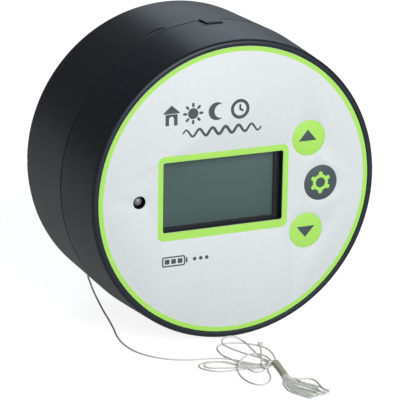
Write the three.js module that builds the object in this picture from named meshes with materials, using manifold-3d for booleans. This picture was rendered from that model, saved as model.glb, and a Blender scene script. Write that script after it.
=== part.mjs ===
// Automatic coop door opener: a round wall unit that winds a pull cord up and down on a timer
// or by daylight. Units are millimetres. +Z is up, the face looks along -Y, and the origin is
// the centre of the flat back, which is the plane y = 0 that lies on the wall.

import * as THREE from 'three';
import { mergeVertices } from 'three/addons/utils/BufferGeometryUtils.js';
import Module from 'manifold-3d';

const wasm = await Module();
wasm.setup();

// ---------------------------------------------------------------- driving dimensions

const GAP = 0.3;                      // between neighbouring pieces

const FACE_Y = -86;                   // printed front surface
const LIP_Y = FACE_Y - 0.6;           // raised lip round the printed face
const SEAT_Y = FACE_Y + 0.6;          // floor of the shallow recess that takes the foil
const PANEL_Y = FACE_Y + 3;           // inner side of the front panel
const SEAM_Y = -50.75;                // middle of the joint between the two shells
const FLOOR_Y = -2.6;                 // inner side of the back wall

const RIM_R = 75;                     // front shell at the rounded rim
const SEAM_R = 77.5;                  // widest radius, at the seam
const BACK_R = 77;                    // rear shell near the wall
const LIP_R = 72;                     // inner edge of the lip
const RIM_ROUND = 1.8;
const WALL = 2.6;
const SHELL_SIDES = 60;

const WINDOW = { x0: -38.5, x1: 24.9, z0: -17.1, z1: 17.9, round: 1 };
const WINDOW_X = (WINDOW.x0 + WINDOW.x1) / 2;
const WINDOW_Z = (WINDOW.z0 + WINDOW.z1) / 2;
const KEYS = {
  up: { x: 38.5, z: 22.8 },
  settings: { x: 45.7, z: -0.7 },
  down: { x: 38.3, z: -24.5 },
};
const KEY_HOLE_R = 9.1;
const SENSOR = { x: -50.8, z: -0.2, hole: 3.2 };

const BOARD_Y = -72.8;                // front side of the circuit board
const BOARD_T = 1.6;
const BOARD_R = 63;
const BOARD_BOTTOM = -50;             // where the round board is cut off straight
const BOARD_SCREWS = [[0, 56], [-52.6, -19], [52.6, -19]];
const BOARD_BOSS_R = 3.2;
const BOARD_PILOT_R = 1.5;

const CHASSIS_Y = -25.1;              // front side of the chassis plate
const CHASSIS_T = 2.5;
const CHASSIS_SCREWS = [[-58, 14], [-58, -14], [55, -32]];
const CHASSIS_PEG = [56, 24];

// The gear train: motor pinion, compound idler, and a gear moulded in one with the spool.
const MODULE = 1;
const PRESSURE_ANGLE = 25 * Math.PI / 180;
const TEETH = { spool: 38, idlerSmall: 12, idlerLarge: 30, pinion: 12 };
const SPOOL_AT = new THREE.Vector2(13, -26);
const IDLER_ANGLE = 25 * Math.PI / 180;       // from the spool to the idler
const MOTOR_ANGLE = 90 * Math.PI / 180;       // from the idler to the motor
const IDLER_AT = stepFrom(SPOOL_AT, IDLER_ANGLE, MODULE * (TEETH.spool + TEETH.idlerSmall) / 2);
const MOTOR_AT = stepFrom(IDLER_AT, MOTOR_ANGLE, MODULE * (TEETH.idlerLarge + TEETH.pinion) / 2);

const CORD_R = 0.4;                   // braided cord, 0.8 mm across
const CORD_Y = -9.9;                  // plane in which the cord runs down the wall
const GROUND_Z = -SEAM_R;             // the surface when the unit stands on its rim
const WINDING_R = 13;

const CELL_R = 7.1;                   // AA cell
const CELL_LENGTH = 49.2;
const CELL_PITCH = 15.4;
const CELL_COUNT = 4;
const TRAY_X = -19;                   // middle of the battery tray
const TRAY_BACK_Y = CHASSIS_Y - GAP;
const CELL_Y = TRAY_BACK_Y - 1.6 - GAP - CELL_R;

// ---------------------------------------------------------------- shape helpers

function stepFrom(point, angle, distance) {
  return new THREE.Vector2(
    point.x + distance * Math.cos(angle),
    point.y + distance * Math.sin(angle),
  );
}

// A closed mesh with shared vertices, as the boolean library wants it.
function toSolid(geometry) {
  const bare = geometry.clone();
  bare.deleteAttribute('normal');
  bare.deleteAttribute('uv');
  const merged = mergeVertices(bare, 1e-4);
  const corners = merged.index.array;
  const kept = [];
  for (let i = 0; i < corners.length; i += 3) {
    const [a, b, c] = corners.slice(i, i + 3);
    if (a !== b && b !== c && a !== c) kept.push(a, b, c);
  }
  return new wasm.Manifold(new wasm.Mesh({
    numProp: 3,
    vertProperties: new Float32Array(merged.attributes.position.array),
    triVerts: new Uint32Array(kept),
  }));
}

function toGeometry(solid) {
  const mesh = solid.getMesh();
  const geometry = new THREE.BufferGeometry();
  geometry.setAttribute('position', new THREE.BufferAttribute(mesh.vertProperties, 3));
  geometry.setIndex(new THREE.BufferAttribute(mesh.triVerts, 1));
  geometry.computeVertexNormals();
  return geometry;
}

function join(first, ...others) {
  const add = (sum, geometry) => sum.add(toSolid(geometry));
  return toGeometry(others.reduce(add, toSolid(first)));
}

function cut(first, ...others) {
  const subtract = (rest, geometry) => rest.subtract(toSolid(geometry));
  return toGeometry(others.reduce(subtract, toSolid(first)));
}

function overlapOf(first, second) {
  return toGeometry(toSolid(first).intersect(toSolid(second)));
}

// Solid of revolution about the Y axis from [radius, y] pairs.
function turned(profile, sides = SHELL_SIDES) {
  return new THREE.LatheGeometry(profile.map(([r, y]) => new THREE.Vector2(r, y)), sides);
}

// The same for a ring that doesn't reach the axis.
function turnedRing(profile, sides = SHELL_SIDES) {
  return turned([...profile, profile[0]], sides);
}

// Moves a piece made about the Y axis so that its axis passes through (x, z).
function at(geometry, x, z) {
  return geometry.translate(x, 0, z);
}

function circlePoints(x, z, radius, sides) {
  const points = [];
  for (let i = 0; i < sides; i += 1) {
    const angle = 2 * Math.PI * i / sides;
    points.push(new THREE.Vector2(x + radius * Math.cos(angle), z + radius * Math.sin(angle)));
  }
  return points;
}

function roundedRectPoints(x0, x1, z0, z1, round, steps = 3) {
  const corners = [[x1 - round, z1 - round, 0], [x0 + round, z1 - round, 1],
    [x0 + round, z0 + round, 2], [x1 - round, z0 + round, 3]];
  const points = [];
  for (const [x, z, quarter] of corners) {
    for (let i = 0; i <= steps; i += 1) {
      const angle = (quarter + i / steps) * Math.PI / 2;
      points.push(new THREE.Vector2(x + round * Math.cos(angle), z + round * Math.sin(angle)));
    }
  }
  return points;
}

// Plate with an outline in X and Z, between two Y planes.
function plate(outline, y0, y1, holes = []) {
  const shape = new THREE.Shape(outline);
  shape.holes = holes.map((points) => new THREE.Path(points));
  const geometry = new THREE.ExtrudeGeometry(shape, { depth: y1 - y0, bevelEnabled: false });
  return geometry.rotateX(Math.PI / 2).translate(0, y1, 0);
}

// Plate with an outline in X and Y, between two heights.
function slab(outline, z0, z1) {
  const shape = new THREE.Shape(outline);
  const geometry = new THREE.ExtrudeGeometry(shape, { depth: z1 - z0, bevelEnabled: false });
  return geometry.translate(0, 0, z0);
}

function block(x0, x1, y0, y1, z0, z1) {
  const geometry = new THREE.BoxGeometry(x1 - x0, y1 - y0, z1 - z0);
  return geometry.translate((x0 + x1) / 2, (y0 + y1) / 2, (z0 + z1) / 2);
}

// Round bar along Y.
function bar(x, z, radius, y0, y1, sides = 24) {
  const geometry = new THREE.CylinderGeometry(radius, radius, y1 - y0, sides);
  return geometry.translate(x, (y0 + y1) / 2, z);
}

// Round flexible piece along a smooth curve through the given [x, y, z] points.
function tube(points, radius, sides, steps) {
  const route = new THREE.CatmullRomCurve3(points.map((p) => new THREE.Vector3(...p)));
  const section = new THREE.Shape(circlePoints(0, 0, radius, sides));
  return new THREE.ExtrudeGeometry(section, { steps, bevelEnabled: false, extrudePath: route });
}

function smoothOutline(points, steps) {
  const flat = points.map(([x, y]) => new THREE.Vector3(x, y, 0));
  const loop = new THREE.CatmullRomCurve3(flat, true);
  return loop.getPoints(steps).slice(0, -1).map((p) => new THREE.Vector2(p.x, p.y));
}

// ---------------------------------------------------------------- front half

// The snap tongue of the rear shell, and the matching notch in the front shell's edge.
const TONGUE = { root: 10.4, tip: 8.2, length: 7, slot: 1.1 };

function frontShell() {
  const arc = [];
  for (let i = 0; i <= 3; i += 1) {
    const angle = (i / 3 - 1) * Math.PI / 2;
    arc.push([RIM_R - RIM_ROUND + RIM_ROUND * Math.cos(angle),
      LIP_Y + RIM_ROUND + RIM_ROUND * Math.sin(angle)]);
  }
  const edge = SEAM_Y - GAP / 2;
  const cup = turned([
    [0, SEAT_Y], [LIP_R, SEAT_Y], [LIP_R, LIP_Y], ...arc,
    [SEAM_R, edge - 0.3], [SEAM_R - 0.3, edge],
    [SEAM_R - WALL, edge], [RIM_R - 2.4, PANEL_Y], [0, PANEL_Y],
  ]);
  const bosses = BOARD_SCREWS.map(([x, z]) => (
    bar(x, z, BOARD_BOSS_R, PANEL_Y - 0.5, BOARD_Y - GAP, 12)));
  const pilots = BOARD_SCREWS.map(([x, z]) => (
    bar(x, z, BOARD_PILOT_R, PANEL_Y + 1.5, BOARD_Y, 8)));
  const margin = 0.1;
  const window = plate(
    roundedRectPoints(WINDOW.x0 - margin, WINDOW.x1 + margin,
      WINDOW.z0 - margin, WINDOW.z1 + margin, WINDOW.round),
    LIP_Y, PANEL_Y + 1,
  );
  const keyHoles = Object.values(KEYS).map(({ x, z }) => (
    bar(x, z, KEY_HOLE_R, LIP_Y, PANEL_Y + 1)));
  const sensorHole = bar(SENSOR.x, SENSOR.z, SENSOR.hole + 0.1, LIP_Y, PANEL_Y + 1, 16);
  return cut(join(cup, ...bosses), window, ...keyHoles, sensorHole, ...pilots,
    latchPrism(GAP, TONGUE.slot));
}

function latchPrism(side, beyond) {
  const halfRoot = TONGUE.root / 2 + side;
  const halfTip = TONGUE.tip / 2 + side;
  const tip = SEAM_Y - TONGUE.length - beyond;
  const outline = [[-halfRoot, SEAM_Y + 1], [-halfRoot, SEAM_Y], [-halfTip, tip],
    [halfTip, tip], [halfRoot, SEAM_Y], [halfRoot, SEAM_Y + 1]];
  return slab(outline.map(([x, y]) => new THREE.Vector2(x, y)), SEAM_R - WALL - 1.5, SEAM_R + 2);
}

function latchTongue() {
  const slope = (SEAM_R - RIM_R) / (SEAM_Y - LIP_Y - RIM_ROUND);
  const front = SEAM_Y - TONGUE.length - 1;
  const ring = turnedRing([
    [SEAM_R - 2.3, front], [SEAM_R - slope * (SEAM_Y - front), front],
    [SEAM_R, SEAM_Y + 0.9], [SEAM_R - 2.3, SEAM_Y + 0.9],
  ]);
  return overlapOf(latchPrism(0, 0), ring);
}

function faceFoil() {
  const windowHole = roundedRectPoints(WINDOW.x0, WINDOW.x1, WINDOW.z0, WINDOW.z1, WINDOW.round);
  const keyHoles = Object.values(KEYS).map(({ x, z }) => circlePoints(x, z, KEY_HOLE_R, 24));
  return plate(
    circlePoints(0, 0, LIP_R - GAP, SHELL_SIDES), FACE_Y, SEAT_Y - 0.1,
    [windowHole, ...keyHoles, circlePoints(SENSOR.x, SENSOR.z, SENSOR.hole, 16)],
  );
}

function centredFrame(halfX, halfZ, round) {
  return roundedRectPoints(WINDOW_X - halfX, WINDOW_X + halfX,
    WINDOW_Z - halfZ, WINDOW_Z + halfZ, round);
}

const PANE_Y = PANEL_Y + 0.2;         // front side of the clear pane
const PANE_T = 1.3;
const DISPLAY_Y = -79.6;              // front side of the display glass
const DISPLAY_T = 2.7;
const PANE_HALF = { x: 33.7, z: 19.6 };
const FRAME_HALF = { x: 36, z: 21.8 };
const DISPLAY_HALF = { x: 33.3, z: 19.1 };
const APERTURE_HALF = { x: 29.4, z: 16.6 };
const STRIP = { halfX: 30, halfZ: 1.2, inset: 1.8 };

function windowPane() {
  return plate(centredFrame(PANE_HALF.x, PANE_HALF.z, 1.5), PANE_Y, PANE_Y + PANE_T);
}

function displayFrame() {
  const front = PANE_Y + PANE_T + GAP;
  const body = plate(centredFrame(FRAME_HALF.x, FRAME_HALF.z, 2), front, BOARD_Y - GAP,
    [centredFrame(APERTURE_HALF.x, APERTURE_HALF.z, 0.8)]);
  const pocket = plate(
    centredFrame(DISPLAY_HALF.x + GAP, DISPLAY_HALF.z + GAP, 0.3), DISPLAY_Y - GAP, BOARD_Y);
  return cut(body, pocket);
}

function displayGlass() {
  return plate(centredFrame(DISPLAY_HALF.x, DISPLAY_HALF.z, 0.4), DISPLAY_Y, DISPLAY_Y + DISPLAY_T);
}

// Conductive rubber strip between the display's edge and the board.
function contactStrip(side) {
  const z = WINDOW_Z + side * (DISPLAY_HALF.z - STRIP.inset);
  return block(WINDOW_X - STRIP.halfX, WINDOW_X + STRIP.halfX,
    DISPLAY_Y + DISPLAY_T + GAP, BOARD_Y - GAP, z - STRIP.halfZ, z + STRIP.halfZ);
}

function controlBoard() {
  const outline = circlePoints(0, 0, BOARD_R, 36).filter((p) => p.y > BOARD_BOTTOM);
  const holes = BOARD_SCREWS.map(([x, z]) => circlePoints(x, z, BOARD_PILOT_R + 0.2, 8));
  return plate(outline, BOARD_Y, BOARD_Y + BOARD_T, holes);
}

function boardScrew(x, z) {
  const head = BOARD_Y + BOARD_T + 0.1;
  return at(turned([
    [0, BOARD_Y - 7], [1.2, BOARD_Y - 6], [1.2, head], [2.8, head],
    [2.8, head + 1], [2, head + 1.8], [0, head + 1.8],
  ], 10), x, z);
}

const SWITCH_TOP = -76.4;             // front side of a tact switch
const SWITCH_HALF = 3;
const PUSHER_END = SWITCH_TOP - 0.6;
const PUSHER_R = KEY_HOLE_R - 0.5;

function keyPad({ x, z }) {
  return plate(circlePoints(x, z, KEY_HOLE_R - GAP, 24), FACE_Y, SEAT_Y - 0.1);
}

// Disc behind a key pad, with the stem that reaches down to the tact switch.
function keyPusher({ x, z }) {
  const front = SEAT_Y + 0.1;
  return at(turned([
    [0, front], [PUSHER_R, front], [PUSHER_R, front + 1.2], [2.6, front + 1.2],
    [2.4, PUSHER_END], [0, PUSHER_END],
  ], 16), x, z);
}

function tactSwitch({ x, z }) {
  return block(x - SWITCH_HALF, x + SWITCH_HALF, SWITCH_TOP, BOARD_Y - 0.1,
    z - SWITCH_HALF, z + SWITCH_HALF);
}

const LENS = { r: 2.5, tip: FACE_Y + 1.1, base: -79.6, flangeR: 2.9, end: -78.4 };

// Photo transistor: a 5 mm domed lens on a flange, with two wires to the board.
function lightSensor() {
  const dome = [];
  for (let i = 0; i <= 3; i += 1) {
    const angle = i / 3 * Math.PI / 2;
    dome.push([LENS.r * Math.sin(angle), LENS.tip + LENS.r * (1 - Math.cos(angle))]);
  }
  const lens = at(turned([
    ...dome, [LENS.r, LENS.base], [LENS.flangeR, LENS.base], [LENS.flangeR, LENS.end],
    [0, LENS.end],
  ], 16), SENSOR.x, SENSOR.z);
  const wires = [-1.27, 1.27].map((offset) => (
    bar(SENSOR.x + offset, SENSOR.z, 0.3, LENS.end - 0.2, BOARD_Y - 0.2, 6)));
  return join(lens, ...wires);
}

const HEADER = { x0: -26, x1: -12, z0: 38, z1: 45 };

function boardHeader() {
  const front = BOARD_Y + BOARD_T + 0.1;
  const body = block(HEADER.x0, HEADER.x1, front, front + 7, HEADER.z0, HEADER.z1);
  const pocket = block(HEADER.x0 + 1, HEADER.x1 - 1, front + 1.2, front + 8,
    HEADER.z0 + 1, HEADER.z1 - 1);
  return cut(body, pocket);
}

function loomPlug() {
  const front = BOARD_Y + BOARD_T + 0.1;
  return block(HEADER.x0 + 1.3, HEADER.x1 - 1.3, front + 1.5, front + 11,
    HEADER.z0 + 1.3, HEADER.z1 - 1.3);
}

// ---------------------------------------------------------------- rear half

const POCKET = { halfX: 7.6, front: -16.5, roof: -71, roofT: 2.4, wall: 2.4 };
const PIVOT_AT = new THREE.Vector2(-8, -62);
const PIVOT_R = 2.2;
const SEAL = { r0: 73.1, r1: 74.1, y0: -54.4, y1: -52.3 };
const SPIGOT_TIP = -55.6;
const WALL_HOLES = [[-46, -48], [46, -48]];
const WALL_HOLE_R = 2.3;
const KEYHOLE = { z: 55, head: 4.2, rise: 6 };
const SPOOL_AXLE_R = 2;
const IDLER_PIN_R = 1.5;
const RUNNING = 0.1;                  // radial clearance of a bore on its axle
const POST_FRONT = CHASSIS_Y + CHASSIS_T + GAP;
const ROOT_Y = FLOOR_Y + 0.5;         // how deep posts reach into the back wall

function rearShell() {
  const edge = SEAM_Y + GAP / 2;
  const spigotIn = SEAL.r1 - 1.7;
  const cup = turned([
    [0, FLOOR_Y], [BACK_R - 2.8, FLOOR_Y], [SEAM_R - 3, -43.5],
    [spigotIn, -46], [spigotIn, SPIGOT_TIP], [SEAL.r1 - 0.1, SPIGOT_TIP],
    [SEAL.r1, SEAL.y0], [SEAL.r0, SEAL.y0], [SEAL.r0, SEAL.y1], [SEAL.r1, SEAL.y1],
    [SEAL.r1, edge], [SEAM_R - 0.3, edge], [SEAM_R, edge + 0.3],
    [BACK_R, -2.4], [BACK_R - 0.6, -2.2], [BACK_R - 0.6, -0.4], [BACK_R - 1, 0], [0, 0],
  ]);
  const screwPosts = CHASSIS_SCREWS.map(([x, z]) => bar(x, z, 4, POST_FRONT, ROOT_Y, 12));
  const pegPost = bar(...CHASSIS_PEG, 4, POST_FRONT, ROOT_Y, 12);
  const peg = bar(...CHASSIS_PEG, 2, CHASSIS_Y - 1, ROOT_Y, 12);
  const axleBoss = bar(SPOOL_AT.x, SPOOL_AT.y, 4.5, -5.2, ROOT_Y, 16);
  const pinBoss = bar(IDLER_AT.x, IDLER_AT.y, 4, -14.2, ROOT_Y, 16);
  const pivot = bar(PIVOT_AT.x, PIVOT_AT.y, PIVOT_R, -13, ROOT_Y, 12);
  const pocketBox = block(-POCKET.halfX - POCKET.wall, POCKET.halfX + POCKET.wall,
    POCKET.front - POCKET.wall, ROOT_Y, -BACK_R + 1.2, POCKET.roof + POCKET.roofT);

  const pilots = CHASSIS_SCREWS.map(([x, z]) => bar(x, z, 1.3, POST_FRONT - 1, -12, 8));
  const axleBore = bar(SPOOL_AT.x, SPOOL_AT.y, SPOOL_AXLE_R + RUNNING, -6, -1.3, 16);
  const pinBore = bar(IDLER_AT.x, IDLER_AT.y, IDLER_PIN_R + RUNNING, -15, -3, 16);
  const pocket = block(-POCKET.halfX, POCKET.halfX, POCKET.front, 1, -80, POCKET.roof);
  const bushHole = bar(0, 0, 1.9, -2, 2, 12).rotateX(Math.PI / 2)
    .translate(0, CORD_Y, POCKET.roof + POCKET.roofT / 2);
  const wallHoles = WALL_HOLES.map(([x, z]) => bar(x, z, WALL_HOLE_R, FLOOR_Y - 1, 1, 16));
  const keyholeHead = bar(0, KEYHOLE.z, KEYHOLE.head, FLOOR_Y - 1, 1, 20);
  const keyholeSlot = plate(
    roundedRectPoints(-WALL_HOLE_R, WALL_HOLE_R, KEYHOLE.z - 2, KEYHOLE.z + KEYHOLE.rise,
      WALL_HOLE_R - 0.01, 3),
    FLOOR_Y - 1, 1,
  );
  const notchFloor = BACK_R - 1.3;
  const notches = [
    block(-0.8, 0.8, -2.3, 1, notchFloor, SEAM_R),
    block(-SEAM_R, -notchFloor, -2.3, 1, -0.8, 0.8),
    block(notchFloor, SEAM_R, -2.3, 1, -0.8, 0.8),
  ];
  const whole = join(cup, latchTongue(), ...screwPosts, pegPost, peg, axleBoss, pinBoss, pivot,
    pocketBox);
  return cut(whole, ...pilots, axleBore, pinBore, pocket, bushHole, ...wallHoles,
    keyholeHead, keyholeSlot, ...notches);
}

// Rubber ring in the spigot's groove, squeezed by the front shell.
function housingSeal() {
  const r0 = SEAL.r0 + 0.2;
  const y0 = SEAL.y0 + 0.2;
  const y1 = SEAL.y1 - 0.2;
  return turnedRing([
    [r0, y0], [r0 + 0.8, y0], [r0 + 1.1, (y0 + y1) / 2], [r0 + 0.8, y1], [r0, y1],
  ]);
}

// Nylon eyelet in the roof of the cord pocket.
function cordBush() {
  const roofTop = POCKET.roof + POCKET.roofT;
  const ring = turnedRing([
    [0.8, POCKET.roof - 1], [3, POCKET.roof - 1], [3, POCKET.roof - GAP],
    [1.7, POCKET.roof - GAP], [1.7, roofTop + GAP], [3, roofTop + GAP],
    [3, roofTop + 1], [0.8, roofTop + 1],
  ], 12);
  return ring.rotateX(Math.PI / 2).translate(0, CORD_Y, 0);
}

function chassisPlate() {
  const outline = [[-64, -20], [-52, -37], [58, -37], [63, -26], [63, 22], [54, 32], [-52, 32],
    [-64, 20]].map(([x, z]) => new THREE.Vector2(x, z));
  const holes = [
    ...CHASSIS_SCREWS.map(([x, z]) => circlePoints(x, z, 1.75, 10)),
    circlePoints(...CHASSIS_PEG, 2.3, 12),
    circlePoints(SPOOL_AT.x, SPOOL_AT.y, SPOOL_AXLE_R + RUNNING, 16),
    circlePoints(IDLER_AT.x, IDLER_AT.y, IDLER_PIN_R + RUNNING, 16),
    circlePoints(MOTOR_AT.x, MOTOR_AT.y, 3.2, 16),
  ];
  return plate(outline, CHASSIS_Y, CHASSIS_Y + CHASSIS_T, holes);
}

function chassisScrew(x, z) {
  const head = CHASSIS_Y - 0.1;
  return at(turned([
    [0, head - 1.9], [2.1, head - 1.9], [2.8, head - 1.1], [2.8, head], [1.15, head],
    [1.15, -14], [0, -13],
  ], 10), x, z);
}

// ---------------------------------------------------------------- batteries

const TRAY = { wall: 1.4, floor: 1.6, inner: 29.2, end: 1.5, front: -42 };
const CONTACT_Z = 28.3;               // inner side of a contact plate
const NUB = 1.2;

function cellX(index) {
  return TRAY_X + (index - (CELL_COUNT - 1) / 2) * CELL_PITCH;
}

function batteryTray() {
  const half = (CELL_COUNT * CELL_PITCH + 2 * TRAY.wall) / 2 - 0.2;
  const box = block(TRAY_X - half, TRAY_X + half, TRAY.front, TRAY_BACK_Y,
    -TRAY.inner - TRAY.end, TRAY.inner + TRAY.end);
  const well = block(TRAY_X - half + TRAY.wall, TRAY_X + half - TRAY.wall,
    TRAY.front - 1, TRAY_BACK_Y - TRAY.floor, -TRAY.inner, TRAY.inner);
  const ribs = [0.5, 1.5, 2.5].map((place) => {
    const x = cellX(place);
    return block(x - 0.6, x + 0.6, TRAY_BACK_Y - TRAY.floor - 3, TRAY_BACK_Y - 0.5, -22, 22);
  });
  return join(cut(box, well), ...ribs);
}

// AA cell with its positive end up when facing is 1, down when it is -1.
function batteryCell(index, facing) {
  const half = CELL_LENGTH / 2;
  const cell = turned([
    [0, -half], [CELL_R - 0.5, -half], [CELL_R, -half + 0.5], [CELL_R, half - 0.8],
    [CELL_R - 0.8, half], [2.7, half], [2.7, half + NUB], [0, half + NUB],
  ], 16);
  return cell.rotateX(facing * Math.PI / 2).translate(cellX(index), CELL_Y, 0);
}

// Metal contact at one end of the tray. Each entry of ends is a cell's index and whether the
// contact has a spring there, for a negative end, or a button, for a positive one.
function batteryContact(side, ends, tab) {
  const xs = ends.map(({ cell }) => cellX(cell));
  const z0 = side > 0 ? CONTACT_Z : -CONTACT_Z - 0.6;
  const body = block(Math.min(...xs) - 5.5, Math.max(...xs) + 5.5, CELL_Y - 5, CELL_Y + 5,
    z0, z0 + 0.6);
  const tips = ends.map(({ cell, spring }) => {
    const reach = CONTACT_Z - CELL_LENGTH / 2 - GAP - (spring ? 0 : NUB);
    const [wide, narrow] = spring ? [4.4, 2.8] : [3.2, 2.6];
    const cone = new THREE.CylinderGeometry(narrow, wide, reach + 0.3, 12);
    cone.rotateX(-side * Math.PI / 2);
    return cone.translate(cellX(cell), CELL_Y, side * (CONTACT_Z - (reach - 0.3) / 2));
  });
  if (!tab) return join(body, ...tips);
  const lug = block(xs[0] - 1.5, xs[0] + 1.5, TRAY.front - 1.6, CELL_Y, z0, z0 + 0.6);
  return join(body, ...tips, lug);
}

// ---------------------------------------------------------------- drive

const ADDENDUM = 0.8 * MODULE;
const DEDENDUM = 1.05 * MODULE;
const BACKLASH = 0.16;

// Angle swept by an involute from its base circle to the given radius.
function involute(baseR, radius) {
  const pressure = Math.acos(Math.min(1, baseR / radius));
  return Math.tan(pressure) - pressure;
}

// Outline of a spur gear with one tooth centred on the given angle.
function gearPoints(teeth, angle) {
  const pitchR = MODULE * teeth / 2;
  const baseR = pitchR * Math.cos(PRESSURE_ANGLE);
  const rootR = pitchR - DEDENDUM;
  const tipR = pitchR + ADDENDUM;
  const pitchHalf = Math.PI / (2 * teeth) - BACKLASH / (2 * pitchR);
  const halfAt = (radius) => (
    pitchHalf + involute(baseR, pitchR) - involute(baseR, Math.max(radius, baseR)));
  const flank = [rootR, pitchR, tipR];
  const points = [];
  for (let tooth = 0; tooth < teeth; tooth += 1) {
    const middle = angle + tooth * 2 * Math.PI / teeth;
    for (const radius of flank) points.push([radius, middle - halfAt(radius)]);
    for (const radius of [...flank].reverse()) points.push([radius, middle + halfAt(radius)]);
  }
  return points.map(([radius, turn]) => (
    new THREE.Vector2(radius * Math.cos(turn), radius * Math.sin(turn))));
}

function gear(teeth, angle, centre, y0, y1) {
  return plate(gearPoints(teeth, angle), y0, y1).translate(centre.x, 0, centre.y);
}

// A gap, not a tooth, faces back along the line from the driver.
function meshAngle(lineAngle, teeth) {
  return lineAngle + Math.PI + Math.PI / teeth;
}

// Along Y: the reel's rear flange faces the wall, and its gear faces the chassis plate.
const SPOOL = { flangeR: 17, drumR: 9, hubR: 4, rear: -5.5, front: -22.2 };
const SMALL_MESH = { y0: -18.6, y1: -14.3 };  // spool gear and small idler gear
const LARGE_MESH = { y0: -22.2, y1: -19 };    // large idler gear and motor pinion

function spool() {
  const reel = at(turned([
    [0, SPOOL.front], [SPOOL.hubR, SPOOL.front], [SPOOL.hubR, -16], [SPOOL.flangeR, -14.4],
    [SPOOL.flangeR, -12.9], [SPOOL.drumR, -12.9], [SPOOL.drumR, -6.9],
    [SPOOL.flangeR, -6.9], [SPOOL.flangeR, SPOOL.rear], [0, SPOOL.rear],
  ], 28), SPOOL_AT.x, SPOOL_AT.y);
  const teeth = gear(TEETH.spool, IDLER_ANGLE, SPOOL_AT, SMALL_MESH.y0, SMALL_MESH.y1);
  const bore = bar(SPOOL_AT.x, SPOOL_AT.y, SPOOL_AXLE_R + RUNNING, -30, 0, 16);
  return cut(join(reel, teeth), bore);
}

function spoolWinding() {
  return at(turnedRing([
    [SPOOL.drumR + GAP, -12.6], [WINDING_R, -12.2], [WINDING_R, -7.6],
    [SPOOL.drumR + GAP, -7.2],
  ], 28), SPOOL_AT.x, SPOOL_AT.y);
}

function spoolAxle() {
  return at(turned([
    [0, CHASSIS_Y], [SPOOL_AXLE_R - 0.3, CHASSIS_Y], [SPOOL_AXLE_R, CHASSIS_Y + 0.3],
    [SPOOL_AXLE_R, -1.6], [0, -1.6],
  ], 16), SPOOL_AT.x, SPOOL_AT.y);
}

function idlerGear() {
  const large = gear(TEETH.idlerLarge, MOTOR_ANGLE, IDLER_AT, LARGE_MESH.y0, LARGE_MESH.y1);
  const small = gear(TEETH.idlerSmall, meshAngle(IDLER_ANGLE, TEETH.idlerSmall), IDLER_AT,
    LARGE_MESH.y1 - 0.5, SMALL_MESH.y1 - GAP);
  return cut(join(large, small), bar(IDLER_AT.x, IDLER_AT.y, IDLER_PIN_R + RUNNING, -30, 0, 16));
}

function idlerPin() {
  return at(turned([
    [0, CHASSIS_Y], [IDLER_PIN_R - 0.3, CHASSIS_Y], [IDLER_PIN_R, CHASSIS_Y + 0.3],
    [IDLER_PIN_R, -3.3], [0, -3.3],
  ], 16), IDLER_AT.x, IDLER_AT.y);
}

const MOTOR_SHAFT_R = 2.2;
const GEARBOX = { front: CHASSIS_Y - GAP, length: 14, r: 12 };
const MOTOR_LENGTH = 25;
const MOTOR_R = 12;
const MOTOR_FRONT = GEARBOX.front - GEARBOX.length - GAP;
const MOTOR_BACK = MOTOR_FRONT - MOTOR_LENGTH;

function motorPinion() {
  const teeth = gear(TEETH.pinion, meshAngle(MOTOR_ANGLE, TEETH.pinion), MOTOR_AT,
    LARGE_MESH.y0, LARGE_MESH.y1);
  const shaft = bar(MOTOR_AT.x, MOTOR_AT.y, MOTOR_SHAFT_R, GEARBOX.front - 2.6, -18.7, 12);
  return join(teeth, shaft);
}

function gearbox() {
  const end = GEARBOX.front - GEARBOX.length;
  const body = at(turned([
    [0, end], [GEARBOX.r, end], [GEARBOX.r, GEARBOX.front - 0.6],
    [GEARBOX.r - 0.6, GEARBOX.front], [0, GEARBOX.front],
  ], 28), MOTOR_AT.x, MOTOR_AT.y);
  return cut(body, bar(MOTOR_AT.x, MOTOR_AT.y, MOTOR_SHAFT_R + 0.4,
    GEARBOX.front - 3, GEARBOX.front + 1, 12));
}

const TERMINAL = { offset: 5, halfZ: 1.5, reach: 3.2 };

function motorCan() {
  const can = at(turned([
    [0, MOTOR_BACK - 1.4], [4, MOTOR_BACK - 1.4], [4, MOTOR_BACK], [MOTOR_R - 1, MOTOR_BACK],
    [MOTOR_R, MOTOR_BACK + 1], [MOTOR_R, MOTOR_FRONT], [0, MOTOR_FRONT],
  ], 28), MOTOR_AT.x, MOTOR_AT.y);
  const lugs = [-1, 1].map((side) => {
    const x = MOTOR_AT.x + side * TERMINAL.offset;
    return block(x - 0.3, x + 0.3, MOTOR_BACK - TERMINAL.reach, MOTOR_BACK + 0.5,
      MOTOR_AT.y - TERMINAL.halfZ, MOTOR_AT.y + TERMINAL.halfZ);
  });
  return join(can, ...lugs);
}

// ---------------------------------------------------------------- slack sensing

// Bell crank that leans on the cord. A tight cord pushes its upper arm to the left, and the
// lower arm then leaves the switch.
const LEVER = {
  y0: -11.3, y1: -8.5, hubR: 4, rootHalf: 2.8,
  tip: [-1.1, -49], tipR: 1.2, tail: [-22, -60.8], tailR: 1.4,
};

function leverArm([x, z], endR) {
  const along = new THREE.Vector2(x, z).sub(PIVOT_AT);
  const side = new THREE.Vector2(-along.y, along.x).normalize();
  const corner = (point, radius, sign) => (
    new THREE.Vector2(point.x + sign * radius * side.x, point.y + sign * radius * side.y));
  const end = new THREE.Vector2(x, z);
  const outline = [corner(PIVOT_AT, LEVER.rootHalf, 1), corner(PIVOT_AT, LEVER.rootHalf, -1),
    corner(end, endR, -1), corner(end, endR, 1)];
  return join(plate(outline, LEVER.y0, LEVER.y1), bar(x, z, endR, LEVER.y0, LEVER.y1, 12));
}

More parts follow.
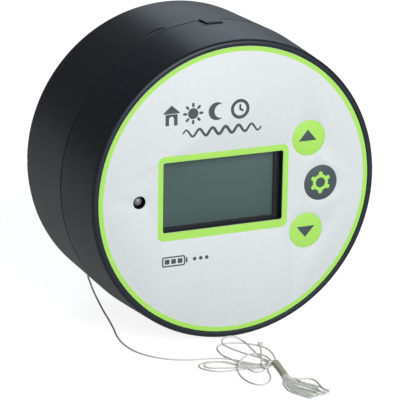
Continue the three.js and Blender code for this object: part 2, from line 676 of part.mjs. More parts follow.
function slackLever() {
  const hub = bar(PIVOT_AT.x, PIVOT_AT.y, LEVER.hubR, LEVER.y0, LEVER.y1, 16);
  const arms = [leverArm(LEVER.tip, LEVER.tipR), leverArm(LEVER.tail, LEVER.tailR)];
  return cut(join(hub, ...arms), bar(PIVOT_AT.x, PIVOT_AT.y, PIVOT_R + RUNNING, -20, 0, 12));
}

function slackSwitch() {
  const body = block(-36, -19.5, -13.5, FLOOR_Y - GAP, -57.5, -48);
  return join(body, block(-23, -21, -11.4, -8.4, -58.8, -57));
}

// ---------------------------------------------------------------- wires and cord

const WIRE_R = 0.65;

function lead(points) {
  return tube(points, WIRE_R, 6, 11);
}

const PLUG_WIRE_Y = BOARD_Y + BOARD_T + 11.4;
const PLUG_WIRE_Z = (HEADER.z0 + HEADER.z1) / 2;

function batteryLead(index, plugX) {
  const x = cellX(index);
  const z = CONTACT_Z + 0.3;
  const sideways = Math.sign(plugX - x);
  return lead([
    [x, TRAY.front - 2, z], [x, -47, z + 0.8], [x + sideways * 5, -51, z + 6],
    [plugX - sideways * 5, -53, PLUG_WIRE_Z + 1], [plugX, -55.5, PLUG_WIRE_Z + 0.6],
    [plugX, PLUG_WIRE_Y, PLUG_WIRE_Z],
  ]);
}

function motorLead(side, plugX) {
  const x = MOTOR_AT.x + side * TERMINAL.offset;
  const y = MOTOR_BACK - 1.9;
  return lead([
    [x, y, MOTOR_AT.y + TERMINAL.halfZ + GAP], [x, y + 0.4, 14], [x - 8, -61, 27 + side],
    [8, -54 + side, 42], [-8, -51.5 + side, 46 + side], [plugX + 1, -52, PLUG_WIRE_Z + 3],
    [plugX, PLUG_WIRE_Y, PLUG_WIRE_Z],
  ]);
}

// Inside stretch of the pull cord, from the winding over the lever's tip to the bush.
function cordLead() {
  const stations = [[-0.75, -27], [-0.6, -36], [0.5, -45], [0.85, -50], [0.6, -57], [0.1, -63],
    [0, -67.2]];
  return tube(stations.map(([x, z]) => [x, CORD_Y, z]), CORD_R, 8, 12);
}

const LYING_Z = GROUND_Z + CORD_R;

// The free cord leaves the bush downwards, turns back under the pocket and lies on the
// surface: round behind the unit, forward past its left side, and in towards the hank.
const CORD_ROUTE = [
  [0, CORD_Y, -72.3], [0, CORD_Y, -74.2], [0.05, -9.3, -75.6], [0.2, -7.8, -76.55],
  [0.4, -6, -76.95], [0.7, -3, LYING_Z + 0.02], [1, 4, LYING_Z], [1, 16, LYING_Z], [-2, 29, LYING_Z],
  [-9, 39, LYING_Z], [-18, 43.5, LYING_Z], [-26, 41, LYING_Z], [-30.8, 32, LYING_Z],
  [-34.2, 20, LYING_Z], [-37.1, 8.6, LYING_Z], [-40.6, -7, LYING_Z], [-43.7, -22, LYING_Z],
  [-46.2, -36, LYING_Z], [-48.8, -49, LYING_Z], [-51.3, -60, LYING_Z], [-52.3, -71, LYING_Z],
  [-50.8, -82, LYING_Z], [-47, -90, LYING_Z], [-42, -96, LYING_Z], [-35.2, -100.5, LYING_Z],
  [-28.4, -103, LYING_Z], [-20.6, -104.6, LYING_Z],
];

// Outer shapes of the loosely tied hank on either side of its tie.
const HANK_LOOPS = [[-30.9, -112], [-27, -108], [-20.4, -106.4], [-16.5, -102.5], [-13, -96],
  [-10, -90.5], [-4.5, -88.4], [2.5, -89.2], [6.6, -94], [7.2, -99.5], [10.8, -105],
  [10.6, -112], [8.2, -118], [3, -121.4], [-0.6, -124.5], [-2.6, -131], [-4.4, -139],
  [-8.4, -144.4], [-13, -145.2], [-17, -140.5], [-17.6, -131], [-17, -123.8], [-24, -122.4],
  [-29.4, -118]];
const HANK_FAN = [[-0.9, -143.6], [-3, -149], [-4.6, -156], [-2.4, -163], [2, -168.6],
  [7.4, -167], [13, -165.2], [13.6, -158], [13.2, -149], [11, -144.9], [5.4, -144.2],
  [3.4, -142.8]];
const HANK_TOP = GROUND_Z + 3.4;
const TIE = { from: [4.9, -122.9], to: [1.3, -141.6], halfWidth: 1.7, height: 3.2 };
const KNOT = { x: 9.6, y: -96.6, r: 1.25 };

function hankTie() {
  const from = new THREE.Vector2(...TIE.from);
  const to = new THREE.Vector2(...TIE.to);
  const side = to.clone().sub(from).normalize().rotateAround(new THREE.Vector2(), Math.PI / 2)
    .multiplyScalar(TIE.halfWidth);
  const outline = [from.clone().sub(side), from.clone().add(side), to.clone().add(side),
    to.clone().sub(side)];
  return slab(outline, GROUND_Z, GROUND_Z + TIE.height);
}

function cordKnot() {
  const ball = new THREE.SphereGeometry(KNOT.r, 10, 6);
  return ball.translate(KNOT.x, KNOT.y, GROUND_Z + KNOT.r);
}

// ---------------------------------------------------------------- materials

function material(color, roughness, metalness = 0) {
  return new THREE.MeshStandardMaterial({ color, roughness, metalness });
}

const MATERIALS = {
  housing: material(0x2b2f34, 0.55),
  foil: material(0xe2e8e8, 0.45),
  lime: material(0xb1ee6c, 0.45),
  print: material(0x4b5860, 0.5),
  pane: material(0x9fb3b0, 0.1),
  display: material(0x55696a, 0.2),
  insert: material(0x23262a, 0.6),
  board: material(0x1f6a3c, 0.6),
  natural: material(0xe9e6da, 0.5),
  rubber: material(0x1d1d1e, 0.85),
  steel: material(0xb9bcc0, 0.35, 0.9),
  tin: material(0xa9adb2, 0.4, 0.9),
  lens: material(0x2a2d31, 0.15),
  cell: material(0x3a4149, 0.4, 0.4),
  redWire: material(0xb3231f, 0.6),
  blackWire: material(0x1c1c1e, 0.6),
  cord: material(0xcfd2c8, 0.8),
  tape: material(0xa5a58c, 0.6),
};

// ---------------------------------------------------------------- assembly

const opener = new THREE.Group();

function place(name, geometry, finish) {
  const mesh = new THREE.Mesh(geometry, finish);
  mesh.name = name;
  opener.add(mesh);
}

place('front_shell', frontShell(), MATERIALS.housing);
place('face_foil', faceFoil(), MATERIALS.foil);
place('window_pane', windowPane(), MATERIALS.pane);
place('display_frame', displayFrame(), MATERIALS.insert);
place('display_glass', displayGlass(), MATERIALS.display);
place('contact_strip_upper', contactStrip(1), MATERIALS.rubber);
place('contact_strip_lower', contactStrip(-1), MATERIALS.rubber);
place('control_board', controlBoard(), MATERIALS.board);
BOARD_SCREWS.forEach(([x, z], i) => place(`board_screw_${i + 1}`, boardScrew(x, z), MATERIALS.steel));
for (const [name, spot] of Object.entries(KEYS)) {
  place(`${name}_key`, keyPad(spot), name === 'settings' ? MATERIALS.print : MATERIALS.lime);
  place(`${name}_pusher`, keyPusher(spot), MATERIALS.natural);
  place(`${name}_switch`, tactSwitch(spot), MATERIALS.insert);
}
place('light_sensor', lightSensor(), MATERIALS.lens);
place('board_header', boardHeader(), MATERIALS.natural);

place('rear_shell', rearShell(), MATERIALS.housing);
place('housing_seal', housingSeal(), MATERIALS.rubber);
place('cord_bush', cordBush(), MATERIALS.natural);
place('chassis_plate', chassisPlate(), MATERIALS.insert);
CHASSIS_SCREWS.forEach(([x, z], i) => (
  place(`chassis_screw_${i + 1}`, chassisScrew(x, z), MATERIALS.steel)));
place('battery_tray', batteryTray(), MATERIALS.insert);
for (let i = 0; i < CELL_COUNT; i += 1) {
  place(`battery_${i + 1}`, batteryCell(i, i % 2 === 0 ? 1 : -1), MATERIALS.cell);
}
place('contact_positive', batteryContact(1, [{ cell: 0, spring: false }], true), MATERIALS.tin);
place('contact_negative', batteryContact(1, [{ cell: 3, spring: true }], true), MATERIALS.tin);
for (let i = 0; i < CELL_COUNT - 1; i += 1) {
  const ends = [{ cell: i, spring: true }, { cell: i + 1, spring: false }];
  const side = i % 2 === 0 ? -1 : 1;
  place(`contact_bridge_${i + 1}`, batteryContact(side, ends, false), MATERIALS.tin);
}

place('gearbox', gearbox(), MATERIALS.steel);
place('motor_can', motorCan(), MATERIALS.steel);
place('motor_pinion', motorPinion(), MATERIALS.natural);
place('idler_pin', idlerPin(), MATERIALS.steel);
place('idler_gear', idlerGear(), MATERIALS.natural);
place('spool_axle', spoolAxle(), MATERIALS.steel);
place('spool', spool(), MATERIALS.natural);
place('spool_winding', spoolWinding(), MATERIALS.cord);
place('slack_lever', slackLever(), MATERIALS.natural);
place('slack_switch', slackSwitch(), MATERIALS.insert);
place('loom_plug', loomPlug(), MATERIALS.natural);
place('battery_lead_red', batteryLead(0, -22.5), MATERIALS.redWire);
place('battery_lead_black', batteryLead(3, -15.5), MATERIALS.blackWire);
place('motor_lead_red', motorLead(-1, -17.8), MATERIALS.redWire);
place('motor_lead_black', motorLead(1, -20.2), MATERIALS.blackWire);

place('cord_inside', cordLead(), MATERIALS.cord);
place('cord_run', tube(CORD_ROUTE, CORD_R, 8, 64), MATERIALS.cord);
place('cord_loops', slab(smoothOutline(HANK_LOOPS, 48), GROUND_Z, HANK_TOP), MATERIALS.cord);
place('cord_fan', slab(smoothOutline(HANK_FAN, 26), GROUND_Z, HANK_TOP), MATERIALS.cord);
place('hank_tie', hankTie(), MATERIALS.tape);
place('cord_knot', cordKnot(), MATERIALS.cord);

export default opener;
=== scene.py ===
"""Looks of the round coop door opener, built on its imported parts.

Tables are in millimetres and become metres when a mesh is made. The unit stands on its rim:
the printed face looks along -Y, +Z is up, and the back at y = 0 is what lies on the wall.
"""
import math

import bmesh
import bpy
import numpy as np
from mathutils import Matrix, Vector


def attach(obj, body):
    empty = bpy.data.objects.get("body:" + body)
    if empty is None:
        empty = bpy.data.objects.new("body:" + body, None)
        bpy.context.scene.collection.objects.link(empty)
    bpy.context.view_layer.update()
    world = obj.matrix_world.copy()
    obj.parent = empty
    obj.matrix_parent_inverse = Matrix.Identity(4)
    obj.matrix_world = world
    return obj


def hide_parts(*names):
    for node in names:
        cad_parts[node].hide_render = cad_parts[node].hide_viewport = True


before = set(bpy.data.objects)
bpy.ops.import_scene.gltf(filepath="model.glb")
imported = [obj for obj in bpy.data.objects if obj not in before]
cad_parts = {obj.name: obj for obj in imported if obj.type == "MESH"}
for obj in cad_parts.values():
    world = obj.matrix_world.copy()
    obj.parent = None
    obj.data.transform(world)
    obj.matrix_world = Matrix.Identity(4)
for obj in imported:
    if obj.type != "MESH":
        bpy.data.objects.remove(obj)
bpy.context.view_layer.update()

MM = 0.001
SIDES = 192                      # steps round the two shells

# ------------------------------------------------------------------ sizes, as in the CAD part

FACE_Y = -86.0
LIP_Y = -86.6
SEAT_Y = -85.4
PANEL_Y = -83.0
SEAM_Y = -50.75
FLOOR_Y = -2.6
RIM_R = 75.0
SEAM_R = 77.5
BACK_R = 77.0
LIP_R = 72.0
RIM_ROUND = 1.8
WALL = 2.6
GAP = 0.3
SEAM_GROOVE = 0.2                # how much wider the open line between the halves is than GAP
GROUND_Z = -77.5

WINDOW = (-38.5, 24.9, -17.1, 17.9)
WINDOW_X = (WINDOW[0] + WINDOW[1]) / 2
WINDOW_Z = (WINDOW[2] + WINDOW[3]) / 2
KEYS = {"up": (38.5, 22.8), "settings": (45.7, -0.7), "down": (38.3, -24.5)}
KEY_R = 8.95
SENSOR = (-50.8, -0.2)
SENSOR_HOLE_R = 3.2

CORD_R = 0.4
CORD_Y = -9.9
POCKET = {"half_x": 7.6, "front": -16.5, "roof": -71.0, "roof_t": 2.4, "wall": 2.4}
WALL_HOLES = [(-46, -48), (46, -48)]
KEYHOLE_Z = 55
TONGUE = {"root": 10.4, "tip": 8.2, "length": 7.0, "slot": 1.3, "proud": 0.7,
          "corner": 0.9, "thick": 2.3}

# ------------------------------------------------------------------ camera

AZIMUTH, ELEVATION, ROLL = (math.radians(v) for v in (-24.4552, 17.2316, 0.8426))
TARGET = Vector((-19.23, -86.0, -2.36)) * MM
DISTANCE = 1057.4 * MM
FOCAL_LENGTH = 198.02


def make_camera():
    back = Vector((math.sin(AZIMUTH) * math.cos(ELEVATION),
                   -math.cos(AZIMUTH) * math.cos(ELEVATION), math.sin(ELEVATION)))
    right = (-back).cross(Vector((0, 0, 1))).normalized()
    up = right.cross(-back)
    right, up = (right * math.cos(ROLL) + up * math.sin(ROLL),
                 up * math.cos(ROLL) - right * math.sin(ROLL))
    data = bpy.data.cameras.new("camera")
    data.lens, data.sensor_width = FOCAL_LENGTH, 36
    data.clip_start, data.clip_end = 0.05, 20
    camera = bpy.data.objects.new("camera", data)
    bpy.context.collection.objects.link(camera)
    camera.matrix_world = Matrix([
        [right.x, up.x, back.x, TARGET.x + back.x * DISTANCE],
        [right.y, up.y, back.y, TARGET.y + back.y * DISTANCE],
        [right.z, up.z, back.z, TARGET.z + back.z * DISTANCE],
        [0, 0, 0, 1]])
    bpy.context.scene.camera = camera


make_camera()

# ------------------------------------------------------------------ mesh helpers


def new_object(name, verts, faces):
    """A mesh object from points in millimetres, with its normals turned outwards."""
    mesh = bpy.data.meshes.new(name)
    mesh.from_pydata([tuple(c * MM for c in v) for v in verts], [], faces)
    obj = bpy.data.objects.new(name, mesh)
    bpy.context.collection.objects.link(obj)
    bm = bmesh.new()
    bm.from_mesh(mesh)
    bmesh.ops.remove_doubles(bm, verts=bm.verts, dist=1e-7)
    bmesh.ops.recalc_face_normals(bm, faces=bm.faces)
    bm.to_mesh(mesh)
    bm.free()
    return obj


def turned(name, profile, steps=SIDES, x=0.0, z=0.0):
    """Solid of revolution about the Y axis through (x, z), from pairs of radius and y. An end
    on the axis is closed by one flat face, or by a cone where the two heights differ."""
    verts, rings = [], []
    for r, y in profile:
        if r < 1e-6:
            rings.append(None)
            continue
        rings.append(len(verts))
        for i in range(steps):
            a = 2 * math.pi * i / steps
            verts.append((x + r * math.cos(a), y, z + r * math.sin(a)))
    faces = []
    for a in range(len(profile)):
        b = (a + 1) % len(profile)
        if rings[a] is None and rings[b] is None:
            continue
        if rings[a] is not None and rings[b] is not None:
            faces += [[rings[a] + i, rings[a] + (i + 1) % steps,
                       rings[b] + (i + 1) % steps, rings[b] + i] for i in range(steps)]
            continue
        ring = rings[b] if rings[a] is None else rings[a]
        if abs(profile[a][1] - profile[b][1]) < 1e-9:
            faces.append([ring + i for i in range(steps)])
        else:
            tip = len(verts)
            verts.append((x, profile[a if rings[a] is None else b][1], z))
            faces += [[ring + i, ring + (i + 1) % steps, tip] for i in range(steps)]
    return new_object(name, verts, faces)


def prism(name, outline, low, high, axis="y"):
    """Flat piece with an outline in X and Z between two Y planes, or in X and Y between two
    heights when axis is z."""
    n = len(outline)
    put = (lambda p, h: (p[0], h, p[1])) if axis == "y" else (lambda p, h: (p[0], p[1], h))
    verts = [put(p, low) for p in outline] + [put(p, high) for p in outline]
    faces = [list(range(n)), list(range(n, 2 * n))]
    faces += [[i, (i + 1) % n, n + (i + 1) % n, n + i] for i in range(n)]
    return new_object(name, verts, faces)


def block(name, x0, x1, y0, y1, z0, z1):
    return prism(name, [(x0, z0), (x1, z0), (x1, z1), (x0, z1)], y0, y1)


def bar(name, x, z, r, y0, y1, steps=48):
    """A round bar along Y."""
    return prism(name, circle(x, z, r, steps), y0, y1)


def circle(x, z, r, steps=48):
    return [(x + r * math.cos(2 * math.pi * i / steps),
             z + r * math.sin(2 * math.pi * i / steps)) for i in range(steps)]


def rounded_box(x0, x1, z0, z1, r, steps=8):
    points = []
    for cx, cz, quarter in ((x1 - r, z1 - r, 0), (x0 + r, z1 - r, 1),
                            (x0 + r, z0 + r, 2), (x1 - r, z0 + r, 3)):
        for i in range(steps + 1):
            a = (quarter + i / steps) * math.pi / 2
            points.append((cx + r * math.cos(a), cz + r * math.sin(a)))
    return points


def arc(cx, cy, r, start, end, steps=6):
    """Points on an arc, with angles in degrees."""
    return [(cx + r * math.cos(math.radians(start + (end - start) * i / steps)),
             cy + r * math.sin(math.radians(start + (end - start) * i / steps)))
            for i in range(steps + 1)]


def plain_mesh(obj):
    """Applies the modifiers of obj."""
    bpy.context.view_layer.update()
    graph = bpy.context.evaluated_depsgraph_get()
    mesh = bpy.data.meshes.new_from_object(obj.evaluated_get(graph))
    obj.modifiers.clear()
    obj.data = mesh
    return obj


def merge(name, objects):
    """One object out of several that don't touch each other."""
    bm = bmesh.new()
    for obj in objects:
        bm.from_mesh(obj.data)
        bpy.data.objects.remove(obj)
    mesh = bpy.data.meshes.new(name)
    bm.to_mesh(mesh)
    bm.free()
    merged = bpy.data.objects.new(name, mesh)
    bpy.context.collection.objects.link(merged)
    return merged


def combine(obj, operation, *tools):
    """Cuts or joins each tool, then removes it."""
    for tool in tools:
        step = obj.modifiers.new(operation, "BOOLEAN")
        step.operation, step.solver, step.object = operation, "EXACT", tool
    plain_mesh(obj)
    for tool in tools:
        bpy.data.objects.remove(tool)
    return obj


def soften(obj, width, segments=2, angle=35):
    """Rounds the edges sharper than angle."""
    step = obj.modifiers.new("edges", "BEVEL")
    step.width, step.segments = width * MM, segments
    step.limit_method, step.angle_limit = "ANGLE", math.radians(angle)
    step.use_clamp_overlap = True
    return plain_mesh(obj)


def finish(obj, material, slot, body="housing", replaces=(), sharp=32):
    """Gives a piece its material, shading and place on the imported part."""
    obj.data.materials.clear()
    obj.data.materials.append(material)
    obj.data.shade_smooth()
    obj.data.set_sharp_from_angle(angle=math.radians(sharp))
    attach(obj, body)
    if replaces:
        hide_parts(*replaces)
    return obj


# ------------------------------------------------------------------ the pull cord's route

LYING = 0.45                     # height of a cord's middle above the surface it lies on
STRAND_GAP = 2 * CORD_R + 0.02   # between the middles of strands that touch
COARSE, FINE = 1.0, 0.7          # spacing of route points while it settles, and in the mesh
ROUNDS = 180                     # of settling
RELIST = 5                       # rounds between two searches for near strands
BEND_SPAN = 4                    # number of route points that a bend is measured across
BEND_CHORD = 3.8                 # shortest way across them, which keeps bends open
STIFFNESS = (0.3, 0.3, 0.5)      # share of a bend that is straightened in one round
HOME_PULL = (0.06, 0.06, 0)      # share of the way back to the drawn route, in one round
SINK = (0, 0, 0.02)
CORD_LEAD = [
    (0, CORD_Y, 5.2), (0, CORD_Y, 3.3), (0.05, -9.3, 1.9), (0.2, -7.8, 0.95), (0.4, -6, 0.55),
    (0.7, -3, 0.42), (1, 4), (1, 16), (-2, 29), (-9, 39), (-18, 43.5), (-26, 41), (-30.8, 32),
    (-34.2, 20), (-37.1, 8.6), (-40.6, -7), (-43.7, -22), (-46.2, -36), (-48.8, -49),
    (-51.3, -60), (-52.3, -71), (-50.8, -82), (-47, -90), (-42, -96), (-35.2, -100.5),
    (-28.4, -103), (-20.6, -104.6)]
LEAD_IN = [(-13.6, -107.4), (-9.4, -112.2), (-5.6, -117.4), (-0.6, -121.3)]
# Loops on the side of the tie that looks to the unit, each from the tie out and back.
BACK_LOOPS = [
    [(-0.1, -125.4), (-5.3, -125.1), (-10.4, -123.7), (-16.2, -122.6), (-19.9, -122.6),
     (-23.8, -122), (-26.9, -119.6), (-29.3, -116.7), (-30.6, -113.9), (-30.7, -111.4),
     (-29.1, -109.2), (-26.5, -108.2), (-23.2, -108), (-20.4, -108.8), (-17.9, -110.3),
     (-15.3, -112.7), (-13, -116.9), (-9, -120.8), (-4.4, -123.2), (0.4, -124.3)],
    [(0.2, -124.8), (-5.3, -122.9), (-8.7, -120.1), (-11.8, -116.6), (-14.5, -113.2),
     (-17.6, -110.8), (-21.1, -109.6), (-24.6, -109.6), (-27.2, -110.6), (-28.4, -112.1),
     (-27.7, -114.1), (-25.7, -115.8), (-21.9, -117.9), (-17.2, -119.1), (-12.9, -120),
     (-9.7, -121.6), (-9.7, -124.4), (-9.3, -127.4), (-7.8, -129.3), (-5.4, -129.2),
     (-2.3, -127.2)],
    [(1.5, -123.2), (-3.7, -121.8), (-7.6, -118.8), (-10, -115), (-11.9, -110),
     (-13.5, -104.1), (-13.4, -97.6), (-11.8, -91.8), (-9.3, -89.3), (-6.2, -88.9),
     (-3.3, -89.2), (0.5, -90), (4, -92.3), (6.6, -95.2), (8.8, -98.1), (10.4, -101.5),
     (10.5, -106.7), (9.3, -112.9), (7.6, -117.9), (5.7, -120.9)],
    [(4, -120.2), (3.6, -115.5), (1.5, -110.9), (-1, -107.3), (-3.3, -102.9),
     (-5.2, -97.8), (-6.8, -92.9), (-7.5, -89.9, 0.8), (-7.2, -88.1, 1.7),
     (-6, -87, 2.5), (-4.3, -86.6, 2.85), (-2.3, -86.55, 2.9), (-0.2, -86.7, 2.6),
     (1.8, -87.6, 1.8), (3.4, -90, 0.9), (4, -94.6), (3.4, -98.4), (3, -104),
     (2.6, -109.3), (2.1, -114.8), (2.1, -119.7)],
    [(4.9, -119.4), (5.9, -113.5), (5, -109.4), (2.7, -106.8), (-0.7, -106.5),
     (-4.5, -108.4), (-8.7, -112.7), (-12.9, -118.8), (-15.6, -124.6), (-17.1, -131.1),
     (-17, -136.5), (-16, -141), (-14.4, -143.9), (-12.1, -144.9), (-9, -143.6),
     (-5.4, -139.4), (-3.2, -134.2), (-2.3, -129.4), (-0.4, -125.4)]]
# Loops on the other side of the tie, spread like a fan.
FAN_LOOPS = [
    [(-1.6, -144.2), (-3.4, -150.1), (-4, -155.8), (-2.5, -160.7), (-0.2, -164), (1.3, -166),
     (2.2, -167.8), (3.3, -168), (3.8, -166.7), (2.4, -164.3), (0.8, -161.3), (-0.7, -158),
     (-1.1, -152.7), (-0.5, -147.3)],
    [(-0.7, -145.1), (-2.2, -151.2), (-2.1, -155.8), (-1, -159.7), (0.6, -162.7),
     (1.9, -165.1), (3.2, -167), (4.7, -167.7), (6.1, -166.8), (6.1, -164.7), (4.3, -162.6),
     (2.5, -160.1), (1.2, -155.8), (0.6, -150.8), (0.8, -145.7)],
    [(-0.1, -145.6), (-0.7, -151.6), (-0.4, -156.2), (0.7, -160.1), (2.1, -163.3),
     (3.5, -165.3), (5.4, -165.5), (6.8, -163.9), (6.2, -162.1), (4.4, -160.4),
     (3.2, -157.3), (2.1, -153.8), (1.4, -149.5), (1.4, -144.6)],
    [(1.1, -145), (1.2, -150.5), (2, -154.5), (3.3, -157.7), (4.9, -160.3), (6.9, -163.2),
     (7.5, -165.6), (8.6, -167), (9.9, -166.2), (9.7, -164.1), (8.7, -161), (7.5, -157.3),
     (6.1, -154), (4.4, -151.4), (3.1, -148.1), (2.4, -144.2)],
    [(2.3, -144.4), (3.5, -148.2), (4.8, -151.7), (6.8, -154.1), (8.3, -157.8),
     (9.6, -161.7), (10.4, -164.5), (11.5, -165.6), (12.7, -164.5), (12.7, -161.4),
     (11.9, -157.4), (10.5, -154.6), (8.7, -151.9), (6.9, -149.3), (5, -145.8),
     (3.4, -143.5)],
    [(3.1, -143.9), (5.3, -145.1), (8.3, -144.4), (11.2, -144.8), (13.1, -146.6),
     (13.4, -150.1), (12.7, -154.4), (11.8, -158.5), (11.4, -161.6), (10.9, -163.9),
     (9.8, -164.4), (9.5, -160.5), (8.6, -155.9), (7.2, -152.1), (5.8, -148),
     (4.4, -143.7)]]
FREE_END = [(-0.2, -126.3), (-2.8, -127.2), (-1.9, -122.6), (1.3, -115.4), (4.6, -108.1),
            (7.2, -102.4), (8.9, -98.2)]
TIE_BACK = np.array((4.9, -122.9))
TIE_FRONT = np.array((1.3, -141.6))
# Where each pass of the cord runs inside the tie: sideways from its middle, and height.
PASSES = [(0, 0.5), (-0.8, 0.5), (-1.2, 1.12), (-0.4, 1.12), (-0.8, 1.74), (0.4, 1.12),
          (1.2, 1.12), (0.8, 0.5), (0, 1.74), (0.8, 1.74), (-0.4, 2.36), (0.4, 2.36)]


def with_height(points):
    return [(p[0], p[1], p[2] if len(p) > 2 else LYING) for p in points]


def tie_pass(slot, forwards):
    """The cord's way through the tie, from its back end to its front end if forwards."""
    along = TIE_FRONT - TIE_BACK
    side = np.array((-along[1], along[0])) / np.linalg.norm(along)
    points = [(*(TIE_BACK + along * t + side * slot[0]), slot[1])
              for t in (-0.04, 0.12, 0.38, 0.62, 0.88, 1.04)]
    return points if forwards else points[::-1]


def cord_stations():
    """Route points from the eyelet to the stopper knot, and which of them are held."""
    route, held = [], []

    def add(points, fixed):
        held.extend([fixed or len(p) > 2 for p in points])
        route.extend(with_height(points))

    add(CORD_LEAD, True)
    add(LEAD_IN, False)
    for i, slot in enumerate(PASSES):
        forwards = i % 2 == 0
        inside = tie_pass(slot, forwards)
        add(inside, True)
        held[-len(inside)] = held[-1] = False
        if forwards:
            add(FAN_LOOPS[i // 2], False)
        elif i < len(PASSES) - 1:
            add(BACK_LOOPS[i // 2], False)
    add(FREE_END, False)
    return np.array(route), np.array(held, float)


def between(p, q, start, end, u):
    return (end - u) / (end - start) * p + (u - start) / (end - start) * q


def smooth_line(points, weights, step):
    """Points about step apart on a smooth curve through the given ones, and their weights."""
    fine, carried = [], []
    padded = np.vstack([2 * points[0] - points[1], points, 2 * points[-1] - points[-2]])
    for i in range(len(points) - 1):
        p0, p1, p2, p3 = padded[i:i + 4]
        knots = np.concatenate([[0], np.cumsum(np.sqrt(np.maximum(
            np.linalg.norm(np.diff(padded[i:i + 4], axis=0), axis=1), 1e-6)))])
        for t in np.linspace(0, 1, 12, endpoint=False):
            u = knots[1] + t * (knots[2] - knots[1])
            a1 = between(p0, p1, knots[0], knots[1], u)
            a2 = between(p1, p2, knots[1], knots[2], u)
            a3 = between(p2, p3, knots[2], knots[3], u)
            b1 = between(a1, a2, knots[0], knots[2], u)
            b2 = between(a2, a3, knots[1], knots[3], u)
            fine.append(between(b1, b2, knots[1], knots[2], u))
            carried.append(min(weights[i], weights[i + 1]))
    fine.append(points[-1])
    carried.append(weights[-1])
    return resample(np.array(fine), np.array(carried), step)


def resample(line, carried, step):
    along = np.concatenate([[0], np.cumsum(np.linalg.norm(np.diff(line, axis=0), axis=1))])
    at = np.linspace(0, along[-1], int(along[-1] / step) + 1)
    return (np.stack([np.interp(at, along, line[:, k]) for k in range(3)], axis=1),
            np.interp(at, along, carried))


def bend_of(line):
    """From each point to the middle of its neighbours."""
    bend = np.zeros_like(line)
    bend[1:-1] = (line[:-2] + line[2:]) / 2 - line[1:-1]
    return bend


def open_bends(line, free):
    """Spreads the ends of each stretch that is bent tighter than BEND_CHORD allows."""
    chord = line[BEND_SPAN:] - line[:-BEND_SPAN]
    length = np.linalg.norm(chord, axis=1)[:, None]
    widen = chord / np.maximum(length, 1e-6) * np.maximum(BEND_CHORD - length, 0) * 0.5
    line[BEND_SPAN:] += free[BEND_SPAN:] * widen * (1, 1, 0.3)
    line[:-BEND_SPAN] -= free[:-BEND_SPAN] * widen * (1, 1, 0.3)


def part_strands(line, free, low, high):
    """How far each point moves so that the near pairs low and high come a diameter apart:
    crossing strands in height, and strands side by side sideways too."""
    offset = line[high] - line[low]
    far = np.linalg.norm(offset, axis=1)
    hit = far < STRAND_GAP
    a, b, offset, far = low[hit], high[hit], offset[hit], far[hit]
    run = np.zeros_like(line)
    run[1:-1] = line[2:] - line[:-2]
    run /= np.maximum(np.linalg.norm(run, axis=1), 1e-9)[:, None]
    beside = np.abs((run[a] * run[b]).sum(1)) > 0.9
    way = offset / np.maximum(far, 1e-6)[:, None]
    over = np.where(np.abs(offset[:, 2]) > 0.1, np.sign(offset[:, 2]), 1.0)
    upward = np.stack([way[:, 0] * 0.15, way[:, 1] * 0.15, over], axis=1)
    sideways = np.stack([way[:, 0] * 0.8, way[:, 1] * 0.8,
                         way[:, 2] * 0.8 + 0.45 * over], axis=1)
    push = np.where(beside[:, None], sideways, upward) * ((STRAND_GAP - far) * 0.5)[:, None]
    total, count = np.zeros_like(line), np.zeros(len(line))
    share = np.where(free[a, 0] * free[b, 0] > 0, 1.0, 2.0)[:, None]
    np.add.at(total, b, push * share)
    np.add.at(total, a, -push * share)
    np.add.at(count, a, 1)
    np.add.at(count, b, 1)
    return free * total / np.maximum(count, 1)[:, None] * 0.9


def settle(line, held):
    """Lays the cord on the surface and over itself, with its held points left in place."""
    home = line.copy()
    free = (held < 0.5).astype(float)[:, None]
    order = np.arange(len(line))
    for turn in range(ROUNDS):
        if turn % RELIST == 0:
            apart = np.linalg.norm(line[:, None] - line[None], axis=2)
            near = (apart < STRAND_GAP + 0.8) & (order[None] - order[:, None] > 4)
            low, high = np.nonzero(near & (free[:, 0][:, None] + free[:, 0][None] > 0))
        line = line + free * (bend_of(line) * STIFFNESS + (home - line) * HOME_PULL - SINK)
        open_bends(line, free)
        line = line + part_strands(line, free, low, high)
        line[:, 2] = np.where(free[:, 0] > 0, np.maximum(line[:, 2], LYING), line[:, 2])
    for _ in range(3):
        line = line + free * bend_of(line) * 0.5
    line[:, 2] = np.where(free[:, 0] > 0, np.maximum(line[:, 2], LYING), line[:, 2])
    return line


def cord_line():
    """The settled route, in metres."""
    stations, held = cord_stations()
    line, held = smooth_line(stations, held, COARSE)
    line = settle(line, held)
    line = smooth_line(line, held, FINE)[0]
    line[:, 2] += GROUND_Z
    return line * MM


